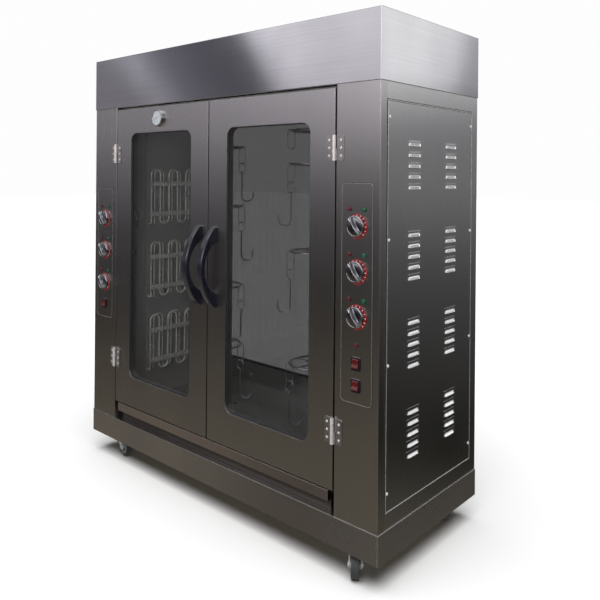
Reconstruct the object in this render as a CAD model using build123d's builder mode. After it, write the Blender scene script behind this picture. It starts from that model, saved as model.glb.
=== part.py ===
from build123d import *
from math import cos, radians, sin
import os

# Double-door electric rotisserie cabinet with two hook carousels, in millimetres.
# +Z is up and the doors face -Y. The origin is on the floor, under the middle of the
# whole object, door handles included. Rises are heights above the skirt's lower edge,
# and depths are measured back from the cabinet's front face.

os.makedirs("parts", exist_ok=True)

# Cabinet body
body_width = 1455
body_depth = 570
body_height = 1550
floor_gap = 80
hood_height = 204
skirt_height = 87
lap = 2
sheet = 1.5
bend = 3

# Front posts, doors and windows
post_width = 157
post_return = 60
side_strip = 30
hinge_gap = 5
meeting_gap = 5
door_bottom_rise = 159
door_height = 1177
door_thick = 30
window_width = 374
window_height = 966
window_corner = 33
window_edge = 96
window_rise = 114
glass_thick = 5
glass_depth = 9
glass_edge = 12

# Door furniture
handle_reach = 72
handle_length = 279
handle_opening = 176
handle_bar = 17
handle_foot = 12
handle_width = 25
handle_from_middle = 40
handle_rise = 760
hinge_rises = (336, 1160)
hinge_length = 75
hinge_leaf = 26
hinge_plate = 2.5
barrel_radius = 5.5
barrel_proud = 7
pin_radius = 2.5
thermometer_across = 62
thermometer_from_middle = 286
thermometer_rise = 1291

# Controls
plate_width = 110
plate_corner = 12
plate_thick = 1.2
right_plate_rises = (432, 1059)
left_plate_rises = (487, 1017)
right_knob_rises = (936, 807, 679)
left_knob_rises = (895, 764, 632)
lamp_side = 26
lamp_above_knob = 49
lone_lamp_rise = 600
right_switch_rises = (546, 484)
left_switch_rises = (543,)
dial_across = 74
knob_across = 56
spindle_radius = 3
bezel_size = (32, 38)
rocker_size = (22, 28.8)
rocker_tilt = 24

# Chamber
heater_step = 23
step_depths = (132, 455)
floor_rise = 148
ceiling_fold = 26
rear_opening_rises = (245, 1305)
rear_opening_half = 545
mullion = 16

# Heaters
bank_rises = (361, 668, 975)
tube_radius = 4.2
tube_spacing = 45.2
tube_count = 7
first_tube = 143
loop_above = 128
loop_below = 108
clamp_offset = 63

# Carousels
rotor_from_middle = 258
rotor_depth = 280
ring_radius = 90
ring_wire = 4
shaft_radius = 8
first_hook_angle = 41.8
left_tier_rises = (390, 630, 950, 1189)
right_tier_rises = (414, 810, 1118)
right_crown_rise = 1237

# Drip tray
tray_half = 545
tray_wall = 1.2
tray_depths = (22, 540)
lip_rises = (123, 155)
lip_depth = 0.5

# Casters
caster_inset = 120
caster_depth_inset = 62
wheel_radius = 37.5
wheel_width = 25
hub_width = 31
caster_trail = 38
fork_turns = {"front_left": -12, "front_right": -55, "rear_left": 10, "rear_right": -20}

# Louvres
louvre_width = 70
louvre_height = 19
louvre_proud = 6.5
louvre_pitch = 31.5
louvre_columns = (172, 387)
louvre_group_rises = (330, 592, 848, 1113)

# Fits
running = 0.05
clear = 0.3

# Planes worked out from the sizes above
half_width = body_width / 2
front = (handle_reach - body_depth - lap) / 2
back = front + body_depth
middle_y = (front + back) / 2
skirt_top = floor_gap + skirt_height
hood_bottom = floor_gap + body_height - hood_height
post_inner = half_width - post_width
post_middle = half_width - post_width / 2
door_outer = post_inner - hinge_gap
door_inner = meeting_gap / 2
door_bottom = floor_gap + door_bottom_rise
door_top = door_bottom + door_height
window_middle = window_edge + window_width / 2
window_center = door_bottom + window_rise + window_height / 2
hinge_axis = post_inner - hinge_gap / 2
rotor_y = front + rotor_depth
floor_top = floor_gap + floor_rise
plate_face = front - plate_thick
step_face = post_inner - heater_step


def save(builder, name):
    """Label a finished piece and write it."""
    builder.part.label = name
    export_step(builder.part, f"parts/{name}.step")


def block(x, y, z, mode=Mode.ADD):
    """A block between two limits on each axis, in the open part."""
    middle = ((x[0] + x[1]) / 2, (y[0] + y[1]) / 2, (z[0] + z[1]) / 2)
    with Locations(middle):
        Box(abs(x[1] - x[0]), abs(y[1] - y[0]), abs(z[1] - z[0]), mode=mode)


def rod(start, direction, radius, length, mode=Mode.ADD):
    """A round bar from a point along a direction, in the open part."""
    with Locations(Plane(origin=start, z_dir=direction)):
        Cylinder(radius, length, align=(Align.CENTER, Align.CENTER, Align.MIN), mode=mode)


def upright(y):
    """A plane at depth y that faces the front, with x to the right and z up."""
    return Plane(origin=(0, y, 0), x_dir=(1, 0, 0), z_dir=(0, -1, 0))


def round_plate(x, z, size, corner, y, thick, mode=Mode.ADD):
    """A plate with round corners whose front is at y, in the open part."""
    with BuildSketch(upright(y + thick), mode=Mode.PRIVATE) as outline:
        with Locations((x, z)):
            RectangleRounded(size[0], size[1], corner)
    extrude(outline.sketch, amount=thick, mode=mode)


def folded_section(height, points, side):
    """The section of a folded upright sheet whose shown face follows the points."""
    with BuildSketch(Plane.XY.offset(height), mode=Mode.PRIVATE) as section:
        with BuildLine():
            FilletPolyline(*points, radius=bend)
            offset(amount=sheet, side=side)
        make_face()
    return section.sketch


def inward(side):
    """The side of an anticlockwise outline, on the right of the cabinet, that is the inside."""
    return Side.LEFT if side > 0 else Side.RIGHT


# Base frame: skirt with a bottom return, and a seat over each caster
seat_rises = (22, 26)
seat_size = 105
with BuildPart() as base_frame:
    with BuildSketch(Plane.XY.offset(floor_gap)):
        with Locations((0, middle_y)):
            RectangleRounded(body_width + 2 * lap, body_depth + 2 * lap, bend)
            Rectangle(body_width, body_depth, mode=Mode.SUBTRACT)
    extrude(amount=skirt_height)
    with BuildSketch(Plane.XY.offset(floor_gap)):
        with Locations((0, middle_y)):
            Rectangle(body_width, body_depth)
            Rectangle(body_width - 40, body_depth - 40, mode=Mode.SUBTRACT)
    extrude(amount=lap)
    for x_sign in (-1, 1):
        seat_x = (x_sign * half_width, x_sign * (half_width - caster_inset - seat_size / 2))
        for seat_y in ((front, front + seat_size), (back - seat_size, back)):
            block(seat_x, seat_y, (floor_gap + seat_rises[0], floor_gap + seat_rises[1]))
save(base_frame, "base_frame")

# Base deck with a turned-down edge
with BuildPart() as base_deck:
    block((-half_width, half_width), (front, back), (skirt_top - sheet, skirt_top))
    with BuildSketch(Plane.XY.offset(skirt_top - sheet)):
        with Locations((0, middle_y)):
            Rectangle(body_width, body_depth)
            Rectangle(body_width - 2 * sheet, body_depth - 2 * sheet, mode=Mode.SUBTRACT)
    extrude(amount=-20)
save(base_deck, "base_deck")

# Places of the controls on each side
knob_rises = {-1: left_knob_rises, 1: right_knob_rises}
switch_rises = {-1: left_switch_rises, 1: right_switch_rises}
plate_rises = {-1: left_plate_rises, 1: right_plate_rises}
red_lamps = [(post_middle, lone_lamp_rise)]
green_lamps = []
for side in (-1, 1):
    for rise in knob_rises[side]:
        red_lamps.append((side * post_middle - lamp_side, rise + lamp_above_knob))
        green_lamps.append((side * post_middle + lamp_side, rise + lamp_above_knob))
lamps = red_lamps + green_lamps
lamp_hole = 7
bush_hole = 6
switch_cut = (27, 34)


def cut_controls(side):
    """Holes for the controls through a post's face and its cover plate, in the open part."""
    hole_start = front - 10
    for rise in knob_rises[side]:
        rod((side * post_middle, hole_start, floor_gap + rise), (0, 1, 0), bush_hole, 20,
            mode=Mode.SUBTRACT)
    for x, rise in lamps:
        if x * side > 0:
            rod((x, hole_start, floor_gap + rise), (0, 1, 0), lamp_hole, 20, mode=Mode.SUBTRACT)
    for rise in switch_rises[side]:
        middle = side * post_middle
        z = floor_gap + rise
        block((middle - switch_cut[0] / 2, middle + switch_cut[0] / 2), (hole_start, front + 10),
              (z - switch_cut[1] / 2, z + switch_cut[1] / 2), mode=Mode.SUBTRACT)


# Front posts: each a folded sheet with the door return and the strip that turns the corner
def front_post(side):
    """One post, standing on the deck and reaching up to the hood."""
    corners = [(side * post_inner, front + post_return), (side * post_inner, front),
               (side * half_width, front), (side * half_width, front + side_strip)]
    with BuildPart() as post:
        extrude(folded_section(skirt_top, corners, inward(side)), amount=hood_bottom - skirt_top)
        cut_controls(side)
    return post


save(front_post(-1), "left_front_post")
save(front_post(1), "right_front_post")

# Side casings: side sheet with a large opening, folded round to the back
rear_return = 60
casing_opening = ((front + 62, front + 500), (250, hood_bottom - 72))
screw_depths = (40, 518)
screw_rises = (190, 548, 900, 1246)
screw_radius = 2


def cut_screw_holes(side):
    """Screw holes of the louvre panels, in the open part."""
    for depth in screw_depths:
        for rise in screw_rises:
            rod((side * (half_width - 5), front + depth, floor_gap + rise), (side, 0, 0),
                screw_radius + 0.1, 20, mode=Mode.SUBTRACT)


with BuildPart() as side_casings:
    for side in (-1, 1):
        corners = [(side * half_width, front + side_strip + clear), (side * half_width, back),
                   (side * (half_width - rear_return), back)]
        extrude(folded_section(skirt_top, corners, inward(side)), amount=hood_bottom - skirt_top)
        block((side * (half_width - 10), side * (half_width + 10)), *casing_opening,
              mode=Mode.SUBTRACT)
        cut_screw_holes(side)
save(side_casings, "side_casings")

# Louvre panels: a flat sheet on each casing with two columns of hoods, open downwards
panel_depths = (32, 527)
panel_rises = (136, 1294)
panel_face = half_width + sheet
mouth_corner = 10
crown_proud = 0.4
louvre_shapes = {}
for side in (-1, 1):
    half = louvre_width / 2
    with BuildPart() as louvre_shape:
        with BuildSketch(Plane.XY.offset(-louvre_height / 2)):
            with BuildLine():
                Polyline((side * panel_face, -half),
                         (side * (panel_face + louvre_proud), mouth_corner - half),
                         (side * (panel_face + louvre_proud), half - mouth_corner),
                         (side * panel_face, half), close=True)
            make_face()
        with BuildSketch(Plane.XY.offset(louvre_height / 2)):
            with BuildLine():
                Polyline((side * panel_face, 6 - half),
                         (side * (panel_face + crown_proud), mouth_corner - half),
                         (side * (panel_face + crown_proud), half - mouth_corner),
                         (side * panel_face, half - 6), close=True)
            make_face()
        loft(ruled=True)
        with BuildSketch(Plane.XY.offset(-louvre_height / 2 - 1)):
            with BuildLine():
                Polyline((side * (panel_face - 0.01), 2 - half),
                         (side * (panel_face + louvre_proud - sheet), mouth_corner + 1 - half),
                         (side * (panel_face + louvre_proud - sheet), half - mouth_corner - 1),
                         (side * (panel_face - 0.01), half - 2), close=True)
            make_face()
        with BuildSketch(Plane.XY.offset(louvre_height / 2 - 4)):
            with BuildLine():
                Polyline((side * (panel_face - 0.01), 7 - half),
                         (side * (panel_face + crown_proud), mouth_corner + 1 - half),
                         (side * (panel_face + crown_proud), half - mouth_corner - 1),
                         (side * (panel_face - 0.01), half - 7), close=True)
            make_face()
        loft(ruled=True, mode=Mode.SUBTRACT)
    louvre_shapes[side] = louvre_shape.part

with BuildPart() as louvre_slot:
    Box(2 * panel_face + 0.02, louvre_width - 16, louvre_height - 6,
        align=(Align.CENTER, Align.CENTER, Align.MIN))
louvre_places = []
for depth in louvre_columns:
    for rise in louvre_group_rises:
        for step in range(-2, 3):
            louvre_places.append((0, front + depth, floor_gap + rise + step * louvre_pitch))
slot_places = [(0, y, z - louvre_height / 2) for _, y, z in louvre_places]

with BuildPart() as louvre_panels:
    for side in (-1, 1):
        block((side * half_width, side * panel_face),
              (front + panel_depths[0], front + panel_depths[1]),
              (floor_gap + panel_rises[0], floor_gap + panel_rises[1]))
    with Locations(*slot_places):
        add(louvre_slot.part, mode=Mode.SUBTRACT)
    for side in (-1, 1):
        cut_screw_holes(side)
        with Locations(*louvre_places):
            add(louvre_shapes[side])
save(louvre_panels, "louvre_panels")

# Panel screws
screw_head = 4.5
with BuildPart() as panel_screws:
    for side in (-1, 1):
        for depth in screw_depths:
            for rise in screw_rises:
                place = (side * (panel_face - 8), front + depth, floor_gap + rise)
                rod(place, (side, 0, 0), screw_radius, 8)
                place = (side * panel_face, front + depth, floor_gap + rise)
                rod(place, (side, 0, 0), screw_head, 2.2)
    heads = panel_screws.edges().filter_by(GeomType.CIRCLE)
    fillet([edge for edge in heads if abs(edge.center().X) > panel_face + 2], 1.2)
save(panel_screws, "panel_screws")

# Chamber walls: inner side sheets, stepped inwards where the heaters are fixed
wall_depths = (post_return, body_depth - sheet)
terminal_depths = (first_tube, first_tube + tube_spacing / 2,
                   first_tube + (tube_count - 1) * tube_spacing,
                   first_tube + (tube_count - 0.5) * tube_spacing)
loop_top = loop_above - tube_radius
loop_bottom = -loop_below + tube_radius
with BuildPart() as chamber_walls:
    for side in (-1, 1):
        corners = [(side * post_inner, front + wall_depths[0]),
                   (side * post_inner, front + step_depths[0]),
                   (side * step_face, front + step_depths[0]),
                   (side * step_face, front + step_depths[1]),
                   (side * post_inner, front + step_depths[1]),
                   (side * post_inner, front + wall_depths[1])]
        outward = Side.RIGHT if side > 0 else Side.LEFT
        extrude(folded_section(skirt_top, corners, outward),
                amount=hood_bottom - sheet - skirt_top)
        for rise in bank_rises:
            for index, depth in enumerate(terminal_depths):
                z = floor_gap + rise + (loop_bottom if index < 2 else loop_top)
                rod((side * (step_face - 5), front + depth, z), (side, 0, 0),
                    tube_radius + 0.4, 15, mode=Mode.SUBTRACT)
save(chamber_walls, "chamber_walls")

# Chamber floor: a pan between the walls, drained into the tray below
drain_radius = 10
with BuildPart() as chamber_floor:
    floor_z = (floor_top - sheet, floor_top)
    wide_half = post_inner - 1
    block((-step_face, step_face), (front + 34, back - sheet), floor_z)
    block((-wide_half, wide_half), (front + 34, front + step_depths[0] - 1), floor_z)
    block((-wide_half, wide_half), (front + step_depths[1] + 1, back - sheet), floor_z)
    block((-wide_half, wide_half), (front + 34, front + 34 + sheet), (floor_top - 5, floor_top))
    for x in (-rotor_from_middle, rotor_from_middle):
        with Locations((x, rotor_y, floor_top - sheet)):
            with PolarLocations(70, 4, start_angle=45):
                Cylinder(drain_radius, 10, mode=Mode.SUBTRACT)
save(chamber_floor, "chamber_floor")

# Chamber ceiling with the fold that closes the gap above the doors
with BuildPart() as chamber_ceiling:
    block((-post_inner, post_inner), (front + 32, back - sheet), (hood_bottom - sheet, hood_bottom))
    block((-post_inner, post_inner), (front + 32, front + 32 + sheet),
          (hood_bottom - ceiling_fold, hood_bottom))
    block((-step_face, step_face), (front + 40, back - 10),
          (hood_bottom - 2 * sheet, hood_bottom - sheet))
    for x in (-rotor_from_middle, rotor_from_middle):
        rod((x, rotor_y, hood_bottom - 10), (0, 0, 1), shaft_radius + 2, 20, mode=Mode.SUBTRACT)
save(chamber_ceiling, "chamber_ceiling")

# Hood: a deep cap with a bottom return
with BuildPart() as hood:
    with Locations((0, middle_y, hood_bottom)):
        Box(body_width + 2 * lap, body_depth + 2 * lap, hood_height,
            align=(Align.CENTER, Align.CENTER, Align.MIN))
    fillet(hood.edges().filter_by(Axis.Z), bend)
    fillet(hood.faces().sort_by(Axis.Z)[-1].edges(), bend - 1)
    offset(amount=-sheet, openings=hood.faces().sort_by(Axis.Z)[0])
    with BuildSketch(Plane.XY.offset(hood_bottom)):
        with Locations((0, middle_y)):
            Rectangle(body_width + lap, body_depth + lap)
            Rectangle(body_width - 24, body_depth - 24, mode=Mode.SUBTRACT)
    extrude(amount=sheet)
save(hood, "hood")

# Back: a sheet between the rear returns, with two window openings, and a pane in each
gland_place = (600, 160)
gland_hole = 8
with BuildPart() as back_frame:
    back_half = half_width - rear_return - clear
    block((-back_half, back_half), (back - sheet, back), (skirt_top, hood_bottom))
    for side in (-1, 1):
        block((side * mullion / 2, side * rear_opening_half), (back - 10, back + 10),
              (floor_gap + rear_opening_rises[0], floor_gap + rear_opening_rises[1]),
              mode=Mode.SUBTRACT)
    rod((gland_place[0], back - 10, floor_gap + gland_place[1]), (0, 1, 0), gland_hole, 20,
        mode=Mode.SUBTRACT)
save(back_frame, "back_frame")

with BuildPart() as rear_glass:
    for side in (-1, 1):
        block((side * 2, side * (rear_opening_half + 10)), (back - sheet - glass_thick, back - sheet),
              (floor_gap + rear_opening_rises[0] - 10, floor_gap + rear_opening_rises[1] + 10))
save(rear_glass, "rear_glass")

# Cable gland through the back sheet
gland_bore = 6
gland_y = back + 1.8
with BuildPart() as cable_gland:
    gland_z = floor_gap + gland_place[1]
    rod((gland_place[0], back, gland_z), (0, 1, 0), 12, gland_y - back)
    rod((gland_place[0], back - 28, gland_z), (0, 1, 0), gland_hole - 0.1, 28)
    rod((gland_place[0], back - sheet - 5, gland_z), (0, 1, 0), 11, 5)
    rod((gland_place[0], back - 40, gland_z), (0, 1, 0), gland_bore, 50, mode=Mode.SUBTRACT)
save(cable_gland, "cable_gland")

# Terminal block on the outside of the right chamber wall
with BuildPart() as terminal_block:
    block((post_inner + sheet, post_inner + 26), (back - 90, back - 20), (250, 285))
    for index in range(5):
        y = back - 82 + index * 14
        rod((post_inner + 26.01, y, 267), (-1, 0, 0), 3.5, 14, mode=Mode.SUBTRACT)
save(terminal_block, "terminal_block")

# Cover plates over the controls
with BuildPart() as control_plates:
    for side in (-1, 1):
        low, high = plate_rises[side]
        round_plate(side * post_middle, floor_gap + (low + high) / 2, (plate_width, high - low),
                    plate_corner, plate_face, plate_thick)
        cut_controls(side)
save(control_plates, "control_plates")

# Dial rings under the knobs
dial_thick = 1.5
with BuildPart() as dial_rings:
    for side in (-1, 1):
        for rise in knob_rises[side]:
            place = (side * post_middle, plate_face - dial_thick, floor_gap + rise)
            rod(place, (0, 1, 0), dial_across / 2, dial_thick)
            rod(place, (0, 1, 0), bush_hole, dial_thick, mode=Mode.SUBTRACT)
save(dial_rings, "dial_rings")

# Pilot lamps: a flange on the plate, a domed lens and a body behind
with BuildPart() as pilot_lamps:
    for x, rise in lamps:
        z = floor_gap + rise
        rod((x, plate_face - 1.2, z), (0, 1, 0), lamp_hole + 0.8, 1.2)
        rod((x, plate_face, z), (0, 1, 0), lamp_hole - 0.1, 24)
        rod((x, plate_face - 4.2, z), (0, 1, 0), lamp_hole - 1, 3)
    lens_edges = pilot_lamps.edges().filter_by(GeomType.CIRCLE)
    fillet([edge for edge in lens_edges if edge.center().Y < plate_face - 4], 2)
save(pilot_lamps, "pilot_lamps")

# Rocker switches: a housing in the post and a rocker on a pin
bezel_proud = 2.5
rocker_radius = 16
pivot_depth = 7
rocker_pin = 1.5
pivot_y = plate_face - bezel_proud + pivot_depth
housing_depth = pivot_depth + rocker_radius + 2
with BuildPart() as switch_bezels:
    for side in (-1, 1):
        for rise in switch_rises[side]:
            x = side * post_middle
            z = floor_gap + rise
            round_plate(x, z, bezel_size, 2.5, plate_face - bezel_proud, bezel_proud)
            block((x - 13.4, x + 13.4), (plate_face, plate_face + housing_depth), (z - 16.9, z + 16.9))
            block((x - 11.3, x + 11.3), (plate_face - bezel_proud, pivot_y), (z - 14.7, z + 14.7),
                  mode=Mode.SUBTRACT)
            rod((x - 11.3, pivot_y, z), (1, 0, 0), rocker_radius + 0.3, 22.6, mode=Mode.SUBTRACT)
            rod((x - 12.6, pivot_y, z), (1, 0, 0), rocker_pin + running, 25.2, mode=Mode.SUBTRACT)
save(switch_bezels, "switch_bezels")


def rocker(side, rise):
    """A rocker with round ends and two flats, at rest with its lower half standing out."""
    x = side * post_middle
    z = floor_gap + rise
    ridge = pivot_depth + 3
    reach = 20
    tilt = radians(rocker_tilt)
    with BuildPart() as piece:
        with BuildSketch(Plane(origin=(x - rocker_size[0] / 2, pivot_y, z), x_dir=(0, -1, 0),
                               z_dir=(-1, 0, 0))):
            Circle(rocker_radius)
            with BuildLine():
                Polyline((-4, 5), (-4, reach), (ridge, reach), (ridge, 0),
                         (ridge + reach * sin(tilt), -reach * cos(tilt)), (-4, -reach),
                         (-4, -5), (-7, 0), close=True)
            make_face(mode=Mode.INTERSECT)
        extrude(amount=-rocker_size[0])
        rod((x - 12.5, pivot_y, z), (1, 0, 0), rocker_pin, 25)
    return piece


save(rocker(-1, left_switch_rises[0]), "rocker_left")
save(rocker(1, right_switch_rises[0]), "rocker_right_1")
save(rocker(1, right_switch_rises[1]), "rocker_right_2")

# Thermostats: a body behind the post and a bush that carries the knob's spindle
bush_length = 24
with BuildPart() as thermostats:
    for side in (-1, 1):
        for rise in knob_rises[side]:
            x = side * post_middle
            z = floor_gap + rise
            block((x - 22, x + 22), (front + sheet, front + 40), (z - 22, z + 22))
            rod((x, plate_face - dial_thick, z), (0, 1, 0), bush_hole - 0.5, 6)
            rod((x, plate_face - dial_thick, z), (0, 1, 0), spindle_radius + running,
                bush_length, mode=Mode.SUBTRACT)
save(thermostats, "thermostats")


def knob(side, rise):
    """A dished cap with a grip bar that points to the upper left, and its spindle."""
    x = side * post_middle
    z = floor_gap + rise
    knob_back = plate_face - dial_thick - clear
    turned = Plane(origin=(x, knob_back, z), x_dir=(-1, 0, 1), z_dir=(0, -1, 0))
    with BuildPart() as piece:
        with BuildSketch(turned):
            Circle(knob_across / 2)
        extrude(amount=7)
        fillet(piece.edges().filter_by(GeomType.CIRCLE).sort_by(Axis.Y)[0], 4)
        with BuildSketch(turned):
            with Locations((2, 0)):
                RectangleRounded(60, 14, 5)
        extrude(amount=20)
        fillet(piece.faces().sort_by(Axis.Y)[0].edges(), 2.5)
        rod((x, knob_back, z), (0, 1, 0), spindle_radius, bush_length - 4)
    return piece


for side, word in ((-1, "left"), (1, "right")):
    for index, rise in enumerate(knob_rises[side]):
        save(knob(side, rise), f"knob_{word}_{index + 1}")

# Heaters: two interleaved meanders to a bank, their ends taken out through the wall
layer_planes = (531, 541)
meander_corner = 22
terminal_corner = 6


def meander(side, layer, rise):
    """One bent tube, from its lower terminal to its upper one."""
    x = side * layer_planes[layer]
    first = front + first_tube + layer * tube_spacing / 2
    low = floor_gap + rise + loop_bottom
    high = floor_gap + rise + loop_top
    points = [(side * (post_inner - 5), first, low)]
    for index in range(tube_count):
        y = first + index * tube_spacing
        ends = (low, high) if index % 2 == 0 else (high, low)
        points += [(x, y, ends[0]), (x, y, ends[1])]
    points.append((side * (post_inner - 5), points[-1][1], points[-1][2]))
    corners = [terminal_corner] + [meander_corner] * (2 * tube_count - 2) + [terminal_corner]
    with BuildPart() as tube:
        with BuildLine() as path:
            FilletPolyline(*points, radius=corners)
        with BuildSketch(Plane(origin=path.line @ 0, z_dir=path.line % 0)):
            Circle(tube_radius)
        sweep()
    return tube.part


meanders = [meander(side, layer, rise)
            for side in (-1, 1) for rise in bank_rises for layer in (0, 1)]
with BuildPart() as heaters:
    for tube in meanders:
        add(tube)
save(heaters, "heaters")

# Heater clamps: flat bars across each bank, each on seven spacer screws
bar_face = layer_planes[0] - tube_radius
bar_thick = 3
spacer_radius = 3
with BuildPart() as heater_clamps:
    for side in (-1, 1):
        for rise in bank_rises:
            for offset_z in (-clamp_offset, clamp_offset):
                z = floor_gap + rise + offset_z
                block((side * bar_face, side * (bar_face - bar_thick)),
                      (front + first_tube - 9, front + first_tube + 6.5 * tube_spacing + 9),
                      (z - 10, z + 10))
                for index in range(tube_count):
                    y = front + first_tube + (index + 0.25) * tube_spacing
                    rod((side * step_face, y, z), (-side, 0, 0), spacer_radius,
                        step_face - bar_face + bar_thick + 2)
save(heater_clamps, "heater_clamps")


def hook_planes(center_x, ring_z, outwards):
    """Planes at a ring's wire for its four hanging sets, with x along the hooks."""
    planes = []
    flip = 1 if outwards else -1
    for index in range(4):
        turn = radians(first_hook_angle + 90 * index)
        origin = (center_x + ring_radius * cos(turn), rotor_y + ring_radius * sin(turn), ring_z)
        planes.append(Plane(origin=origin, x_dir=(flip * cos(turn), flip * sin(turn), 0),
                            z_dir=(0, 0, 1)))
    return planes


# Carousel: a shaft with a spoked ring at each tier
shaft_bottom = floor_top + 8.3
shaft_top = hood_bottom + 44
hub_radius = 14


def carousel(center_x, rises):
    """A shaft and its rings as one piece."""
    with BuildPart() as rotor:
        rod((center_x, rotor_y, shaft_bottom), (0, 0, 1), shaft_radius, shaft_top - shaft_bottom)
        for rise in rises:
            z = floor_gap + rise
            with Locations((center_x, rotor_y, z)):
                Torus(ring_radius, ring_wire)
                Cylinder(hub_radius, 16)
            for index in range(4):
                turn = radians(first_hook_angle + 45 + 90 * index)
                rod((center_x, rotor_y, z), (cos(turn), sin(turn), 0), 3, ring_radius)
    return rotor


save(carousel(-rotor_from_middle, left_tier_rises), "left_carousel")
save(carousel(rotor_from_middle, right_tier_rises + (right_crown_rise,)), "right_carousel")

# One hanging set, drawn about its ring's wire: a long link, a small ring and a double hook
link_wire = 1.5
link_half = 12.5
link_length = 72
small_wire = 1.75
small_radius = 20.25
hook_wire = 2.5
prong_half = 8
throat_radius = 22.5
hook_drop = 218
tip_rise = 16
link_top = ring_wire + link_wire + clear
link_bottom = link_top - link_length
small_top = link_bottom + link_wire + small_wire + clear
small_middle = small_top - small_radius
hairpin_top = small_middle - small_radius + small_wire + hook_wire + clear
hairpin_spring = hairpin_top - prong_half
throat_z = throat_radius - hook_drop
with BuildPart() as link:
    with BuildLine(Plane.XZ) as link_path:
        upper = CenterArc((0, link_top - link_half), link_half, 0, 180)
        Line((-link_half, link_top - link_half), (-link_half, link_bottom + link_half))
        CenterArc((0, link_bottom + link_half), link_half, 180, 180)
        Line((link_half, link_bottom + link_half), (link_half, link_top - link_half))
    with BuildSketch(Plane(origin=(link_half, 0, link_top - link_half), z_dir=(0, 0, 1))):
        Circle(link_wire)
    sweep(path=link_path.wires()[0])

with BuildPart() as small_ring:
    with Locations(Plane(origin=(0, 0, small_middle), z_dir=(1, 1, 0))):
        Torus(small_radius, small_wire)

with BuildPart() as double_hook:
    with BuildLine():
        tip = Line((2 * throat_radius, -prong_half, throat_z + tip_rise),
                   (2 * throat_radius, -prong_half, throat_z))
        ThreePointArc(tip @ 1, (throat_radius, -prong_half, -hook_drop), (0, -prong_half, throat_z))
        Line((0, -prong_half, throat_z), (0, -prong_half, hairpin_spring))
        ThreePointArc((0, -prong_half, hairpin_spring), (0, 0, hairpin_top),
                      (0, prong_half, hairpin_spring))
        Line((0, prong_half, hairpin_spring), (0, prong_half, throat_z))
        ThreePointArc((0, prong_half, throat_z), (throat_radius, prong_half, -hook_drop),
                      (2 * throat_radius, prong_half, throat_z))
        Line((2 * throat_radius, prong_half, throat_z),
             (2 * throat_radius, prong_half, throat_z + tip_rise))
    with BuildSketch(Plane(origin=tip @ 0, z_dir=tip % 0)):
        Circle(hook_wire)
    sweep()

with BuildPart() as hanging_set:
    add(link.part)
    add(small_ring.part)
    add(double_hook.part)


def hangers(center_x, rises, outwards, crown):
    """The hanging sets of one carousel, and the bare links of its crown."""
    with BuildPart() as group:
        for rise, outward_hook in zip(rises, outwards):
            with Locations(*hook_planes(center_x, floor_gap + rise, outward_hook)):
                add(hanging_set.part)
        for rise in crown:
            with Locations(*hook_planes(center_x, floor_gap + rise, True)):
                add(link.part)
    return group


save(hangers(-rotor_from_middle, left_tier_rises, (True, False, True, True), ()), "left_hangers")
save(hangers(rotor_from_middle, right_tier_rises, (False, True, True), (right_crown_rise,)),
     "right_hangers")

# Carousel bearings: a socket on the floor pan and a collar under the ceiling
bearing_bore = shaft_radius + running
with BuildPart() as shaft_bearings:
    for x in (-rotor_from_middle, rotor_from_middle):
        rod((x, rotor_y, floor_top), (0, 0, 1), 22, 4)
        rod((x, rotor_y, floor_top), (0, 0, 1), hub_radius, 24)
        rod((x, rotor_y, floor_top + 8), (0, 0, 1), bearing_bore, 20, mode=Mode.SUBTRACT)
        ceiling_face = hood_bottom - 2 * sheet
        rod((x, rotor_y, ceiling_face - 4), (0, 0, 1), 24, 4)
        rod((x, rotor_y, ceiling_face - 18), (0, 0, 1), hub_radius, 18)
        rod((x, rotor_y, ceiling_face - 20), (0, 0, 1), bearing_bore, 25, mode=Mode.SUBTRACT)
save(shaft_bearings, "shaft_bearings")

# Gear motors over the carousels
gearbox = (90, 62)
motor_can = (35, 90)
with BuildPart() as gear_motors:
    for x in (-rotor_from_middle, rotor_from_middle):
        block((x - gearbox[0] / 2, x + gearbox[0] / 2),
              (rotor_y - gearbox[0] / 2, rotor_y + gearbox[0] / 2),
              (hood_bottom, hood_bottom + gearbox[1]))
        rod((x, rotor_y, hood_bottom + gearbox[1]), (0, 0, 1), motor_can[0], motor_can[1])
        rod((x, rotor_y, hood_bottom - 1), (0, 0, 1), bearing_bore, 52, mode=Mode.SUBTRACT)
save(gear_motors, "gear_motors")

# Doors: a folded frame, an inner liner and a pane held between their window sleeves
stem_hole = 4.4
thermometer_place = (-thermometer_from_middle, floor_gap + thermometer_rise)


def cut_stem(side):
    """The thermometer's hole, through the left door only, in the open part."""
    if side < 0:
        rod((thermometer_place[0], front - 5, thermometer_place[1]), (0, 1, 0), stem_hole, 50,
            mode=Mode.SUBTRACT)


def door_frame(side):
    """The shown face of a door with its edges and the sleeve round its window."""
    hollow_x = (side * (door_inner + sheet), side * (door_outer - sheet))
    with BuildPart() as piece:
        block((side * door_inner, side * door_outer), (front, front + door_thick - sheet),
              (door_bottom, door_top))
        fillet(piece.faces().sort_by(Axis.Y)[0].edges(), 1.2)
        block(hollow_x, (front + sheet, front + door_thick), (door_bottom + sheet, door_top - sheet),
              mode=Mode.SUBTRACT)
        round_plate(side * window_middle, window_center,
                    (window_width + 2 * sheet, window_height + 2 * sheet), window_corner + sheet,
                    front, glass_depth)
        round_plate(side * window_middle, window_center, (window_width, window_height),
                    window_corner, front - 1, glass_depth + 2, mode=Mode.SUBTRACT)
        cut_stem(side)
    return piece


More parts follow.
